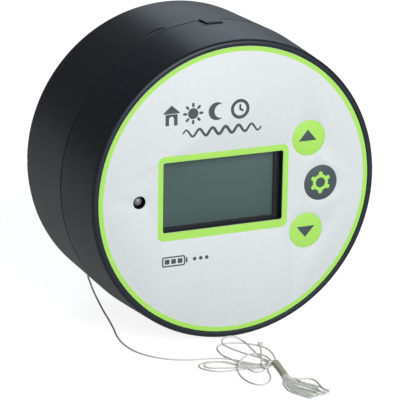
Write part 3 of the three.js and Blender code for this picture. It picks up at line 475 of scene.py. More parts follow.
def tube_along(name, line, radius, sides=10):
    """A closed tube along a line in metres, with its UV map running round and along it, and
    the length of the line."""
    run = np.gradient(line, axis=0)
    run /= np.linalg.norm(run, axis=1)[:, None]
    across = np.cross(run[0], (0, 0, 1.0) if abs(run[0][2]) < 0.9 else (1.0, 0, 0))
    across /= np.linalg.norm(across)
    along = np.concatenate([[0], np.cumsum(np.linalg.norm(np.diff(line, axis=0), axis=1))])
    bm = bmesh.new()
    uv = bm.loops.layers.uv.new("along")
    rings = []
    for p, t in zip(line, run):
        across = across - t * (across @ t)
        across /= np.linalg.norm(across)
        other = np.cross(t, across)
        rings.append([bm.verts.new(p + radius * (across * math.cos(a) + other * math.sin(a)))
                      for a in (2 * math.pi * k / sides for k in range(sides))])
    for i in range(len(rings) - 1):
        for k in range(sides):
            corners = ((i, k), (i, k + 1), (i + 1, k + 1), (i + 1, k))
            face = bm.faces.new([rings[a][b % sides] for a, b in corners])
            face.smooth = True
            for loop, (a, b) in zip(face.loops, corners):
                loop[uv].uv = (b / sides, along[a] / (2 * math.pi * radius))
    bm.faces.new(rings[0][::-1])
    bm.faces.new(rings[-1])
    mesh = bpy.data.meshes.new(name)
    bmesh.ops.recalc_face_normals(bm, faces=bm.faces)
    bm.to_mesh(mesh)
    bm.free()
    obj = bpy.data.objects.new(name, mesh)
    bpy.context.collection.objects.link(obj)
    return obj, float(along[-1])


# ------------------------------------------------------------------ finishes


def group(name, inputs, outputs):
    """An empty shader node group with named inputs, (name, kind, value), and outputs."""
    tree = bpy.data.node_groups.new(name, "ShaderNodeTree")
    for label, kind, value in inputs:
        socket = tree.interface.new_socket(label, in_out="INPUT", socket_type=kind)
        if value is not None:
            socket.default_value = value
    for label, kind in outputs:
        tree.interface.new_socket(label, in_out="OUTPUT", socket_type=kind)
    return tree, tree.nodes.new("NodeGroupInput"), tree.nodes.new("NodeGroupOutput")


def maths(tree, operation, a, b=None, c=None, clamp=False):
    node = tree.nodes.new("ShaderNodeMath")
    node.operation, node.use_clamp = operation, clamp
    for socket, value in zip(node.inputs, (a, b, c)):
        if value is None:
            continue
        if isinstance(value, (int, float)):
            socket.default_value = value
        else:
            tree.links.new(value, socket)
    return node.outputs[0]


def noise(tree, vector, scale, detail=2.0, rough=0.5):
    node = tree.nodes.new("ShaderNodeTexNoise")
    node.inputs["Detail"].default_value = detail
    node.inputs["Roughness"].default_value = rough
    tree.links.new(vector, node.inputs["Vector"])
    if isinstance(scale, (int, float)):
        node.inputs["Scale"].default_value = scale
    else:
        tree.links.new(scale, node.inputs["Scale"])
    return node.outputs[0]


def mixed(tree, amount, first, second):
    node = tree.nodes.new("ShaderNodeMix")
    node.data_type = "RGBA"
    for socket, value in ((node.inputs[0], amount), (node.inputs[6], first),
                          (node.inputs[7], second)):
        if isinstance(value, (int, float)):
            socket.default_value = value
        elif isinstance(value, tuple):
            socket.default_value = (*value, 1)
        else:
            tree.links.new(value, socket)
    return node.outputs[2]


def moulded_group():
    """Even surface with fine grain, broad clouding, and dust that lies on what faces up."""
    tree, given, out = group("moulded surface", [
        ("Vector", "NodeSocketVector", None), ("Colour", "NodeSocketColor", (1, 1, 1, 1)),
        ("Clouded", "NodeSocketColor", (1, 1, 1, 1)), ("Grain", "NodeSocketFloat", 2500.0),
        ("Clouds", "NodeSocketFloat", 40.0), ("Roughness", "NodeSocketFloat", 0.5),
        ("Spread", "NodeSocketFloat", 0.1), ("Dust", "NodeSocketFloat", 0.0)],
        [("Colour", "NodeSocketColor"), ("Roughness", "NodeSocketFloat"),
         ("Height", "NodeSocketFloat")])
    where = given.outputs
    fine = noise(tree, where["Vector"], where["Grain"], 3.0, 0.6)
    broad = noise(tree, where["Vector"], where["Clouds"], 4.0, 0.55)
    specks = noise(tree, where["Vector"], maths(tree, "MULTIPLY", where["Grain"], 0.35), 1.0)
    cloud = maths(tree, "MULTIPLY_ADD", broad, 2.2, -0.6, clamp=True)
    colour = mixed(tree, cloud, where["Colour"], where["Clouded"])
    facing = tree.nodes.new("ShaderNodeNewGeometry")
    split = tree.nodes.new("ShaderNodeSeparateXYZ")
    tree.links.new(facing.outputs["Normal"], split.inputs[0])
    upward = maths(tree, "MAXIMUM", split.outputs[2], 0.0)
    grime = maths(tree, "MULTIPLY_ADD", specks, 5.0, -2.9, clamp=True)
    dust = maths(tree, "MULTIPLY", maths(tree, "MULTIPLY", upward, grime), where["Dust"])
    colour = mixed(tree, dust, colour, (0.45, 0.43, 0.4))
    spread = maths(tree, "MULTIPLY", maths(tree, "SUBTRACT", broad, 0.5), where["Spread"])
    rough = maths(tree, "ADD", maths(tree, "ADD", where["Roughness"], spread), dust, clamp=True)
    tree.links.new(colour, out.inputs["Colour"])
    tree.links.new(rough, out.inputs["Roughness"])
    tree.links.new(fine, out.inputs["Height"])
    return tree


def brushed_group():
    """Metal with fine lines along one direction, set by how far Vector is stretched."""
    tree, given, out = group("brushed metal", [
        ("Vector", "NodeSocketVector", None), ("Colour", "NodeSocketColor", (1, 1, 1, 1)),
        ("Stain", "NodeSocketColor", (1, 1, 1, 1)), ("Stretch", "NodeSocketVector", (1, 1, 1)),
        ("Lines", "NodeSocketFloat", 300.0), ("Roughness", "NodeSocketFloat", 0.35),
        ("Spread", "NodeSocketFloat", 0.2)],
        [("Colour", "NodeSocketColor"), ("Roughness", "NodeSocketFloat"),
         ("Height", "NodeSocketFloat")])
    where = given.outputs
    stretch = tree.nodes.new("ShaderNodeVectorMath")
    stretch.operation = "MULTIPLY"
    tree.links.new(where["Vector"], stretch.inputs[0])
    tree.links.new(where["Stretch"], stretch.inputs[1])
    lines = noise(tree, stretch.outputs[0], where["Lines"], 4.0, 0.7)
    patches = noise(tree, where["Vector"], 120.0, 3.0, 0.6)
    stain = maths(tree, "MULTIPLY_ADD", patches, 3.0, -1.2, clamp=True)
    tree.links.new(mixed(tree, stain, where["Colour"], where["Stain"]), out.inputs["Colour"])
    spread = maths(tree, "MULTIPLY", maths(tree, "SUBTRACT", lines, 0.5), where["Spread"])
    rough = maths(tree, "ADD", where["Roughness"], spread, clamp=True)
    tree.links.new(rough, out.inputs["Roughness"])
    tree.links.new(lines, out.inputs["Height"])
    return tree


def braid_group():
    """Strands that cross round and along a cord, from a map with u round and v along it, with
    painted shade in the grooves between the strands.
    """
    tree, given, out = group("braid", [
        ("Vector", "NodeSocketVector", None), ("Colour", "NodeSocketColor", (1, 1, 1, 1)),
        ("Groove shade", "NodeSocketColor", (0, 0, 0, 1)), ("Strands", "NodeSocketFloat", 8.0),
        ("Lay", "NodeSocketFloat", 4.0)],
        [("Colour", "NodeSocketColor"), ("Height", "NodeSocketFloat")])
    where = given.outputs
    split = tree.nodes.new("ShaderNodeSeparateXYZ")
    tree.links.new(where["Vector"], split.inputs[0])
    around = maths(tree, "MULTIPLY", split.outputs[0],
                   maths(tree, "MULTIPLY", where["Strands"], math.pi))
    along = maths(tree, "MULTIPLY", split.outputs[1],
                  maths(tree, "MULTIPLY", where["Lay"], math.pi))
    one = maths(tree, "ABSOLUTE", maths(tree, "SINE", maths(tree, "ADD", around, along)))
    two = maths(tree, "ABSOLUTE", maths(tree, "SINE", maths(tree, "SUBTRACT", around, along)))
    height = maths(tree, "MAXIMUM", one, two)
    height = maths(tree, "POWER", height, 0.6)
    # Painted shade: the lower the strand height, the more the colour turns to the darker groove
    # tone.
    tree.links.new(mixed(tree, height, where["Groove shade"], where["Colour"]), out.inputs["Colour"])
    tree.links.new(height, out.inputs["Height"])
    return tree


MOULDED, BRUSHED, BRAID = moulded_group(), brushed_group(), braid_group()


def finish_of(name, surface, coordinates="Object", bump=0.0, depth=0.00005, metallic=0.0,
              coat=0.0, coat_roughness=0.1, specular=0.5, values=(), principled=()):
    """A material whose colour, roughness and bump come from one of the shared groups."""
    material = bpy.data.materials.new(name)
    material.use_nodes = True
    tree = material.node_tree
    shader = tree.nodes["Principled BSDF"]
    shader.inputs["Metallic"].default_value = metallic
    shader.inputs["Coat Weight"].default_value = coat
    shader.inputs["Coat Roughness"].default_value = coat_roughness
    shader.inputs["Specular IOR Level"].default_value = specular
    for label, value in dict(principled).items():
        shader.inputs[label].default_value = value
    where = tree.nodes.new("ShaderNodeTexCoord")
    node = tree.nodes.new("ShaderNodeGroup")
    node.node_tree = surface
    tree.links.new(where.outputs[coordinates], node.inputs["Vector"])
    for label, value in dict(values).items():
        if isinstance(value, tuple) and len(value) == 3 and label != "Stretch":
            value = (*value, 1)
        node.inputs[label].default_value = value
    tree.links.new(node.outputs["Colour"], shader.inputs["Base Color"])
    if "Roughness" in node.outputs:
        tree.links.new(node.outputs["Roughness"], shader.inputs["Roughness"])
    if bump:
        bumps = tree.nodes.new("ShaderNodeBump")
        bumps.inputs["Strength"].default_value = bump
        bumps.inputs["Distance"].default_value = depth
        tree.links.new(node.outputs["Height"], bumps.inputs["Height"])
        tree.links.new(bumps.outputs["Normal"], shader.inputs["Normal"])
    return material


def moulded(name, colour, clouded, roughness, grain=2500.0, clouds=40.0, spread=0.1, dust=0.0,
            bump=0.15, **rest):
    return finish_of(name, MOULDED, bump=bump, values={
        "Colour": colour, "Clouded": clouded, "Grain": grain, "Clouds": clouds,
        "Roughness": roughness, "Spread": spread, "Dust": dust}, **rest)


def metal(name, colour, stain, roughness, stretch):
    return finish_of(name, BRUSHED, bump=0.12, metallic=1.0, values={
        "Colour": colour, "Stain": stain, "Stretch": stretch, "Lines": 300.0,
        "Roughness": roughness, "Spread": 0.2})


HOUSING = moulded("satin black housing", (0.008, 0.013, 0.0195), (0.011, 0.017, 0.025),
                  0.4, grain=2600.0, clouds=30.0, spread=0.16, dust=0.08, bump=0.2,
                  specular=0.45, principled={"Specular Tint": (0.87, 0.945, 1.0, 1)})
FOIL = moulded("silver face foil", (0.755, 0.8, 0.812), (0.705, 0.75, 0.765), 0.5,
               grain=1500.0, clouds=900.0, spread=0.2, bump=0.1, coat=0.15,
               coat_roughness=0.3)
LIME = moulded("lime print", (0.415, 0.81, 0.118), (0.445, 0.83, 0.14), 0.4, grain=1800.0,
               clouds=60.0, bump=0.06, coat=0.15, coat_roughness=0.3)
DARK = moulded("dark print", (0.05, 0.072, 0.083), (0.06, 0.084, 0.095), 0.42, grain=1800.0,
               clouds=300.0, bump=0.06, coat=0.15, coat_roughness=0.3)
INSERT = moulded("black insert", (0.012, 0.0135, 0.016), (0.017, 0.019, 0.022), 0.5,
                 grain=2200.0, bump=0.15)
CRYSTAL = moulded("display polariser", (0.1, 0.176, 0.165), (0.11, 0.186, 0.174), 0.4,
                  grain=3000.0, clouds=14.0, spread=0.06, bump=0.0, specular=0.3)
BOARD = moulded("green solder mask", (0.008, 0.085, 0.03), (0.012, 0.12, 0.045), 0.3,
                grain=900.0, clouds=180.0, bump=0.1, coat=0.4)
NATURAL = moulded("natural acetal", (0.78, 0.75, 0.66), (0.83, 0.8, 0.72), 0.42, grain=1400.0,
                  clouds=70.0, bump=0.1, principled={"Subsurface Weight": 0.1,
                                                     "Subsurface Radius": (0.002,) * 3,
                                                     "Subsurface Scale": 1.0})
RUBBER = moulded("soft black rubber", (0.011, 0.011, 0.012), (0.018, 0.018, 0.019), 0.72,
                 grain=1600.0, bump=0.25)
STEEL = metal("zinc plated steel", (0.62, 0.63, 0.65), (0.5, 0.51, 0.53), 0.32,
              stretch=(1, 14, 1))
TIN = metal("tin plated strip", (0.66, 0.67, 0.68), (0.52, 0.53, 0.55), 0.28,
            stretch=(1, 1, 16))
LENS = moulded("grey clear lens", (0.13, 0.14, 0.14), (0.2, 0.21, 0.21), 0.16,
               grain=600.0, clouds=500.0, spread=0.04, bump=0.0, coat=1.0,
               coat_roughness=0.04)
SLEEVE = moulded("shrunk film sleeve", (0.03, 0.038, 0.05), (0.04, 0.05, 0.064), 0.26,
                 grain=500.0, clouds=90.0, bump=0.08, coat=0.6)
RED_WIRE = moulded("red wire insulation", (0.4, 0.015, 0.012), (0.46, 0.022, 0.018), 0.45,
                   grain=900.0, bump=0.1)
BLACK_WIRE = moulded("black wire insulation", (0.012, 0.012, 0.013), (0.02, 0.02, 0.021),
                     0.45, grain=900.0, bump=0.1)
TAPE = moulded("olive tie tape", (0.44, 0.44, 0.35), (0.5, 0.5, 0.405), 0.5, grain=1700.0,
               clouds=420.0, spread=0.2, bump=0.35)
# The darker of the two cord colours is painted shade for the grooves between its strands.
CORD = finish_of("braided cord", BRAID, coordinates="UV", bump=0.35, depth=0.00006,
                 values={"Colour": (0.77, 0.79, 0.74), "Groove shade": (0.62, 0.64, 0.6),
                         "Strands": 4.0, "Lay": 0.9},
                 principled={"Roughness": 0.62, "Sheen Weight": 0.25})
PANE = moulded("clear pane", (0.03, 0.035, 0.036), (0.04, 0.045, 0.046), 0.05, grain=200.0,
               spread=0.02, bump=0.0, principled={"Alpha": 0.1, "IOR": 1.49})

FINISHES = {"housing": HOUSING, "foil": FOIL, "lime_print": LIME, "dark_print": DARK,
            "pane": PANE, "display": CRYSTAL, "insert": INSERT, "board": BOARD,
            "natural_plastic": NATURAL, "rubber": RUBBER, "steel": STEEL, "tin": TIN,
            "lens": LENS, "cell_sleeve": SLEEVE, "red_wire": RED_WIRE,
            "black_wire": BLACK_WIRE, "cord": CORD, "tape": TAPE}

CORD_MOULDED = moulded("cord on the spool", (0.58, 0.6, 0.54), (0.4, 0.42, 0.37), 0.6,
                       grain=700.0, clouds=900.0, spread=0.2, bump=0.4)


def dress_cad_nodes():
    """Gives each CAD node the finish of its material slot."""
    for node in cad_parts.values():
        slot_name = node.data.materials[0].name.split(".")[0]
        finish_here = CORD_MOULDED if slot_name == "cord" else FINISHES[slot_name]
        for i in range(len(node.data.materials)):
            node.data.materials[i] = finish_here


dress_cad_nodes()

# ------------------------------------------------------------------ cord, knot and tie


KNOT_SIZE, KNOT_STEPS = 1.12, 64
TIE_TURNS, TIE_SIDES, TIE_RINGS = 6.2, 36, 120
TIE_HALF_WIDTH, TIE_HALF_HEIGHT, TIE_MIDDLE = 1.72, 1.52, 1.5
BRAID_CROWN = 0.06               # how far the braid stands out of the cord's plain radius
KNOT_SWELL = 0.1                 # the same for the knot, where the braid is crushed wider


def overhand_knot(centre, heading):
    """Points of a small overhand knot whose two ends leave along heading."""
    points = []
    for i in range(KNOT_STEPS + 1):
        t = -1.1 + 2 * math.pi * i / KNOT_STEPS * 1.05
        points.append((math.sin(t) + 2 * math.sin(2 * t), math.cos(t) - 2 * math.cos(2 * t),
                       -1.15 * math.sin(3 * t)))
    points = np.array(points) * KNOT_SIZE / 3.0
    c, s = math.cos(heading), math.sin(heading)
    turn = np.array([[c, -s, 0], [s, c, 0], [0, 0, 1.0]])
    return points @ turn.T * (1.0, 1.0, 0.9) + centre


def squarish(value, power):
    return math.copysign(abs(value) ** power, value)


def tie_tape():
    """Flat tape wound several times round the passes of the cord."""
    along = TIE_FRONT - TIE_BACK
    direction = along / np.linalg.norm(along)
    side = np.array((-direction[1], direction[0]))
    verts = []
    for t in np.linspace(0.02, 0.98, TIE_RINGS):
        spot = TIE_BACK + along * t
        swell = 1.0 - 0.1 * abs(2 * t - 1) ** 3
        for k in range(TIE_SIDES):
            a = 2 * math.pi * k / TIE_SIDES
            phase = (t * TIE_TURNS - k / TIE_SIDES) % 1.0
            lift = 0.1 * (1 - phase) ** 3 + 0.05 * math.sin(7 * t + 2 * a)
            r = swell + lift
            p = spot + side * (TIE_HALF_WIDTH * r * squarish(math.cos(a), 0.85))
            h = TIE_MIDDLE + TIE_HALF_HEIGHT * r * squarish(math.sin(a), 0.9)
            verts.append((p[0], p[1], max(h, 0.02) + GROUND_Z))
    faces = [[i * TIE_SIDES + k, i * TIE_SIDES + (k + 1) % TIE_SIDES,
              (i + 1) * TIE_SIDES + (k + 1) % TIE_SIDES, (i + 1) * TIE_SIDES + k]
             for i in range(TIE_RINGS - 1) for k in range(TIE_SIDES)]
    faces += [list(range(TIE_SIDES)), list(range(len(verts) - TIE_SIDES, len(verts)))]
    return new_object("hank_tape", verts, faces)


def make_cord():
    line = cord_line()
    cord, length = tube_along("pull_cord", line, (CORD_R + BRAID_CROWN) * MM)
    finish(cord, CORD, "cord", replaces=("cord_run", "cord_loops", "cord_fan"), sharp=80)
    tip = line[-1] / MM
    run = line[-1] - line[-4]
    knot_line = overhand_knot(tip + (0.35, 0.9, 0.15), math.atan2(run[1], run[0]))
    knot_line[:, 2] = np.maximum(knot_line[:, 2], GROUND_Z + LYING)
    knot = tube_along("end_knot", knot_line * MM, (CORD_R + KNOT_SWELL) * MM, sides=12)[0]
    finish(knot, CORD, "cord", replaces=("cord_knot",), sharp=80)
    tape = finish(tie_tape(), TAPE, "tape", replaces=("hank_tie",), sharp=50)


make_cord()

# ------------------------------------------------------------------ housing


def rounded_wedge(side, beyond):
    """A wedge with the snap tongue's outline in X and Y, wider by side and longer by beyond,
    that goes through the wall."""
    root, tip = TONGUE["root"] / 2 + side, TONGUE["tip"] / 2 + side
    front, r = SEAM_Y - TONGUE["length"] - beyond, TONGUE["corner"]
    outline = [(-root, SEAM_Y + 1), (-root, SEAM_Y)]
    outline += [(-tip + r - r * math.cos(a), front + r - r * math.sin(a))
                for a in (math.pi / 2 * i / 5 for i in range(6))]
    outline += [(tip - r + r * math.sin(a), front + r - r * math.cos(a))
                for a in (math.pi / 2 * i / 5 for i in range(6))]
    outline += [(root, SEAM_Y), (root, SEAM_Y + 1)]
    return prism("tongue", outline, SEAM_R - WALL - 1.5, SEAM_R + 2, axis="z")


BOARD_SCREWS = [(0, 56), (-52.6, -19), (52.6, -19)]
CHASSIS_SCREWS = [(-58, 14), (-58, -14), (55, -32)]
CHASSIS_PEG = (56, 24)
BOARD_Y, BOARD_T = -72.8, 1.6
CHASSIS_Y, CHASSIS_T = -25.1, 2.5
SPOOL_AT, IDLER_AT, PIVOT_AT = (13, -26), (35.6577, -15.4345), (-8, -62)
SPIGOT_R, SPIGOT_Y = 74.1, -55.6 # the rear half's collar, which goes into the front half
SEAL_GROOVE = (73.1, -54.4, -52.3)
BOARD_BOSS_R, POST_R = 3.2, 4
BOARD_PILOT_R, CHASSIS_PILOT_R = 1.5, 1.3
THUMB_MARK = {"angle": 109.7, "radius": 5.0, "depth": 0.4, "beyond_seam": 1.6}


def rear_post(name, place, r, front, steps=32):
    return bar(name, *place, r, front, FLOOR_Y + 0.5, steps)


def front_half():
    """The cup that carries the face: it widens evenly from the rim to the seam."""
    edge = SEAM_Y - GAP / 2 - SEAM_GROOVE
    slope = (SEAM_R - RIM_R) / (edge - LIP_Y - RIM_ROUND)
    at_side = arc(RIM_R - RIM_ROUND, LIP_Y + RIM_ROUND, RIM_ROUND, -90, -2, 10)
    profile = [(0, SEAT_Y), (LIP_R - 0.15, SEAT_Y), (LIP_R, SEAT_Y - 0.15),
               (LIP_R, LIP_Y + 0.25), (LIP_R + 0.08, LIP_Y + 0.08), (LIP_R + 0.25, LIP_Y)]
    profile += at_side
    profile += [(RIM_R + slope * 12, LIP_Y + RIM_ROUND + 12),
                (RIM_R + slope * 24, LIP_Y + RIM_ROUND + 24),
                (SEAM_R - 0.14, edge - 0.8), (SEAM_R - 0.12, edge - 0.3),
                (SEAM_R - 0.16, edge - 0.15), (SEAM_R - 0.25, edge - 0.04),
                (SEAM_R - 0.4, edge), (SEAM_R - WALL, edge), (RIM_R - 2.4, PANEL_Y),
                (0, PANEL_Y)]
    cup = turned("front_half", profile)
    bosses = [bar("boss", x, z, BOARD_BOSS_R, PANEL_Y - 0.5, BOARD_Y - GAP, 32)
              for x, z in BOARD_SCREWS]
    cup = combine(cup, "UNION", *bosses)
    tools = [bar("pilot", x, z, BOARD_PILOT_R, PANEL_Y + 1.5, BOARD_Y, 20)
             for x, z in BOARD_SCREWS]
    tools.append(prism("window", rounded_box(
        WINDOW[0] - 0.1, WINDOW[1] + 0.1, WINDOW[2] - 0.1, WINDOW[3] + 0.1, 1.0),
        LIP_Y, PANEL_Y + 1))
    tools += [bar("key", x, z, 9.1, LIP_Y, PANEL_Y + 1, 72) for x, z in KEYS.values()]
    tools.append(bar("sensor", *SENSOR, SENSOR_HOLE_R + 0.1, LIP_Y, PANEL_Y + 1, 40))
    tools.append(rounded_wedge(GAP, TONGUE["slot"]))
    return combine(cup, "DIFFERENCE", *tools)


def snap_tongue():
    """The tongue, which follows the front half's slope and stands a little proud of it."""
    slope = (SEAM_R - RIM_R) / (SEAM_Y - LIP_Y - RIM_ROUND)
    front, under = SEAM_Y - TONGUE["length"], SEAM_R - TONGUE["thick"]
    top = SEAM_R - slope * TONGUE["length"] + TONGUE["proud"]
    ring = turned("tongue_ring", [
        (under, front - 1), (top - 0.6, front - 1), (top - 0.35, front + 0.05),
        (top - 0.1, front + 0.3), (top, front + 0.8), (SEAM_R + TONGUE["proud"], SEAM_Y - 0.6),
        (SEAM_R + TONGUE["proud"] - 0.15, SEAM_Y), (SEAM_R - 0.1, SEAM_Y + 0.95),
        (under, SEAM_Y + 0.95)])
    return combine(rounded_wedge(0, 0), "INTERSECT", ring)


def turned_up(obj, y):
    """Turns a piece made about the Y axis to stand along Z through (0, y)."""
    for v in obj.data.vertices:
        a, b, c = v.co
        v.co = (a, -c + y * MM, b)
    obj.data.update()
    return obj


def rear_half():
    """The cup that hangs on the wall, with its collar, posts, cord pocket and screw holes."""
    edge = SEAM_Y + GAP / 2
    groove_r, groove_front, groove_back = SEAL_GROOVE
    profile = [(0, FLOOR_Y), (BACK_R - 4.0, FLOOR_Y), (BACK_R - 3.1, FLOOR_Y - 0.35),
               (BACK_R - 2.8, FLOOR_Y - 1.2), (SEAM_R - 3, -43.5), (SPIGOT_R - 1.7, -46),
               (SPIGOT_R - 1.7, SPIGOT_Y + 0.3), (SPIGOT_R - 1.4, SPIGOT_Y),
               (SPIGOT_R - 0.35, SPIGOT_Y), (SPIGOT_R - 0.1, SPIGOT_Y + 0.3),
               (SPIGOT_R, groove_front), (groove_r, groove_front), (groove_r, groove_back),
               (SPIGOT_R, groove_back), (SPIGOT_R, edge), (SEAM_R - 0.15, edge),
               (SEAM_R - 0.07, edge + 0.05), (SEAM_R - 0.03, edge + 0.15),
               (SEAM_R - 0.02, edge + 0.3), (SEAM_R - 0.025, edge + 0.8),
               (SEAM_R - 0.17, edge + 16), (SEAM_R - 0.34, edge + 32),
               (BACK_R + 0.025, -3.3), (BACK_R + 0.02, -2.75), (BACK_R - 0.05, -2.5),
               (BACK_R - 0.5, -2.3), (BACK_R - 0.6, -2.1), (BACK_R - 0.6, -0.8)]
    profile += arc(BACK_R - 1.3, -0.7, 0.7, 10, 90, 5)
    profile.append((0, 0))
    cup = turned("rear_half", profile)
    post_front = CHASSIS_Y + CHASSIS_T + GAP
    posts = [rear_post("post", place, POST_R, post_front)
             for place in (*CHASSIS_SCREWS, CHASSIS_PEG)]
    posts.append(rear_post("axle_boss", SPOOL_AT, 4.5, -5.2, 40))
    posts.append(rear_post("pin_boss", IDLER_AT, 4, -14.2, 40))
    posts.append(rear_post("pivot", PIVOT_AT, 2.2, -13))
    half, wall = POCKET["half_x"], POCKET["wall"]
    posts.append(block("pocket_box", -half - wall, half + wall, POCKET["front"] - wall,
                       FLOOR_Y + 0.5, -BACK_R + 1.2, POCKET["roof"] + POCKET["roof_t"]))
    posts.append(snap_tongue())
    cup = combine(cup, "UNION", *posts)
    cup = combine(cup, "UNION", rear_post("peg", CHASSIS_PEG, 2, CHASSIS_Y - 1))
    tools = [bar("pilot", x, z, CHASSIS_PILOT_R, post_front - 1, -12, 20)
             for x, z in CHASSIS_SCREWS]
    tools.append(bar("axle_bore", *SPOOL_AT, 2.1, -6, -1.3, 32))
    tools.append(bar("pin_bore", *IDLER_AT, 1.6, -15, -3, 32))
    tools.append(soften(block("pocket", -half, half, POCKET["front"], 4, -84,
                              POCKET["roof"]), 0.8))
    tools.append(turned_up(bar("bush_hole", 0, 0, 1.9, POCKET["roof"] - 2,
                               POCKET["roof"] + POCKET["roof_t"] + 2, 32), CORD_Y))
    for x, z in WALL_HOLES:
        tools.append(turned("wall_hole", [(0, FLOOR_Y - 1), (2.3, FLOOR_Y - 1), (2.3, -0.5),
                                          (3.3, 0.5), (0, 0.5)], 40, x, z))
    tools.append(turned("keyhole_head", [(0, FLOOR_Y - 1), (4.2, FLOOR_Y - 1), (4.2, -0.4),
                                         (5.0, 0.4), (0, 0.4)], 48, 0, KEYHOLE_Z))
    tools.append(prism("keyhole_slot", rounded_box(
        -2.3, 2.3, KEYHOLE_Z - 2, KEYHOLE_Z + 6, 2.29, 10), FLOOR_Y - 1, 1))
    floor = BACK_R - 1.3
    tools += [block("notch", x0, x1, -2.3, 1, z0, z1) for x0, x1, z0, z1 in (
        (-0.8, 0.8, floor, SEAM_R), (-SEAM_R, -floor, -0.8, 0.8), (floor, SEAM_R, -0.8, 0.8))]
    tools.append(thumb_mark())
    return combine(cup, "DIFFERENCE", *tools)


def thumb_mark():
    """Cutter for the shallow half-round mark beside the seam."""
    angle, radius = math.radians(THUMB_MARK["angle"]), THUMB_MARK["radius"]
    outline = [(radius * math.cos(a), radius * math.sin(a))
               for a in (math.pi * i / 24 for i in range(25))]
    out = (math.cos(angle), math.sin(angle))
    round_ = (-out[1], out[0])
    verts = []
    for lift in (SEAM_R - THUMB_MARK["depth"], SEAM_R + 2):
        for across, back in outline:
            verts.append((out[0] * lift + round_[0] * across,
                          SEAM_Y + THUMB_MARK["beyond_seam"] + back,
                          out[1] * lift + round_[1] * across))
    n = len(outline)
    faces = [list(range(n)), list(range(n, 2 * n))]
    faces += [[i, (i + 1) % n, n + (i + 1) % n, n + i] for i in range(n)]
    return new_object("thumb_mark", verts, faces)


def make_housing():
    finish(front_half(), HOUSING, "housing", replaces=("front_shell",))
    finish(rear_half(), HOUSING, "housing", replaces=("rear_shell",))
    seal = turned("seal_ring", [(73.3, -54.2), *arc(73.75, -53.35, 0.62, -75, 75, 8),
                                (73.3, -52.5)], 160)
    finish(seal, RUBBER, "rubber", replaces=("housing_seal",))
    roof, top = POCKET["roof"], POCKET["roof"] + POCKET["roof_t"]
    bush = turned("cord_eyelet", [
        (0.85, roof - 0.55), (1.15, roof - 0.95), (1.4, roof - 1), (2.6, roof - 1),
        (2.95, roof - 0.8), (3, roof - 0.55), (3, roof - GAP), (1.7, roof - GAP),
        (1.7, top + GAP), (3, top + GAP), (3, top + 0.6), (2.7, top + 0.95), (1.4, top + 1),
        (1.1, top + 0.92), (0.82, top + 0.5)], 48)
    finish(turned_up(bush, CORD_Y), NATURAL, "natural_plastic", replaces=("cord_bush",))


make_housing()

# ------------------------------------------------------------------ printed face

PRINT_T = 0.03                   # thickness of a printed layer
PRINT_IN = 0.01                  # how far it reaches into the foil


def layer(name, outline, holes=()):
    """A printed layer on the face with an outline and holes in X and Z."""
    sheet = prism(name, outline, FACE_Y - PRINT_T, FACE_Y + PRINT_IN)
    if holes:
        cutters = [prism("hole", hole, FACE_Y - 1, FACE_Y + 1) for hole in holes]
        sheet = combine(sheet, "DIFFERENCE", *cutters)
    return sheet


def ring_layer(name, x, z, inner, outer, steps):
    return layer(name, circle(x, z, outer, steps), [circle(x, z, inner, steps)])


def stroke(x0, z0, x1, z1, width):
    """A printed line with round ends."""
    heading = math.atan2(z1 - z0, x1 - x0)
    outline = [(x + r * math.cos(heading + t), z + r * math.sin(heading + t))
               for x, z, r in ((x1, z1, width / 2), (x0, z0, -width / 2))
               for t in (math.pi * (i / 8 - 0.5) for i in range(9))]
    return layer("stroke", outline)


def wave(x0, x1, z, rise, pitch, width):
    """A printed wavy line."""
    n = 160
    xs = [x0 + (x1 - x0) * i / n for i in range(n + 1)]
    mid = [(x, z + rise * math.sin(2 * math.pi * (x - x0) / pitch)) for x in xs]
    up, down = [], []
    for i, (x, h) in enumerate(mid):
        a, b = mid[max(i - 1, 0)], mid[min(i + 1, n)]
        run = math.hypot(b[0] - a[0], b[1] - a[1])
        nx, nz = -(b[1] - a[1]) / run, (b[0] - a[0]) / run
        w = width / 2 * (0.55 + 0.45 * math.sin(math.pi * i / n))
        up.append((x + nx * w, h + nz * w))
        down.append((x - nx * w, h - nz * w))
    return layer("wave", up + down[::-1])


def make_face():
    window = rounded_box(*WINDOW, 1.0)
    foil = prism("face_sheet", circle(0, 0, LIP_R - GAP, SIDES), FACE_Y, SEAT_Y - 0.1)
    tools = [prism("window", window, FACE_Y - 1, SEAT_Y + 1)]
    tools += [bar("key", x, z, 9.0, FACE_Y - 1, SEAT_Y + 1, 96) for x, z in KEYS.values()]
    tools.append(bar("sensor", *SENSOR, SENSOR_HOLE_R, FACE_Y - 1, SEAT_Y + 1, 48))
    foil = soften(combine(foil, "DIFFERENCE", *tools), 0.05, 2, 60)
    finish(foil, FOIL, "foil", replaces=("face_foil",))
    lime = [ring_layer("rim_band", 0, 0, 69.35, LIP_R - GAP - 0.06, SIDES),
            layer("window_band", rounded_box(-41.2, 27.8, -21.2, 21.0, 3.2),
                  [rounded_box(WINDOW[0] - 0.02, WINDOW[1] + 0.02, WINDOW[2] - 0.02,
                               WINDOW[3] + 0.02, 1.0)])]
    finish(merge("lime_bands", lime), LIME, "lime_print")


def hut(x, z):
    """Printed hut with a pitched roof and a door, 8 mm wide."""
    walls = layer("hut", [(x - 3.1, z - 4.9), (x + 3.1, z - 4.9), (x + 3.1, z + 0.6),
                          (x - 3.1, z + 0.6)],
                  [[(x - 1.3, z - 5.5), (x + 1.3, z - 5.5), (x + 1.3, z - 1.8),
                    *[(x + 1.3 * math.cos(a), z - 1.8 + 1.3 * math.sin(a))
                      for a in (math.pi * i / 12 for i in range(1, 12))],
                    (x - 1.3, z - 1.8)]])
    roof = layer("roof", [(x - 4.4, z + 0.9), (x + 4.4, z + 0.9), (x + 3.6, z + 1.9),
                          (x, z + 5.0), (x - 3.6, z + 1.9)])
    return [walls, roof]


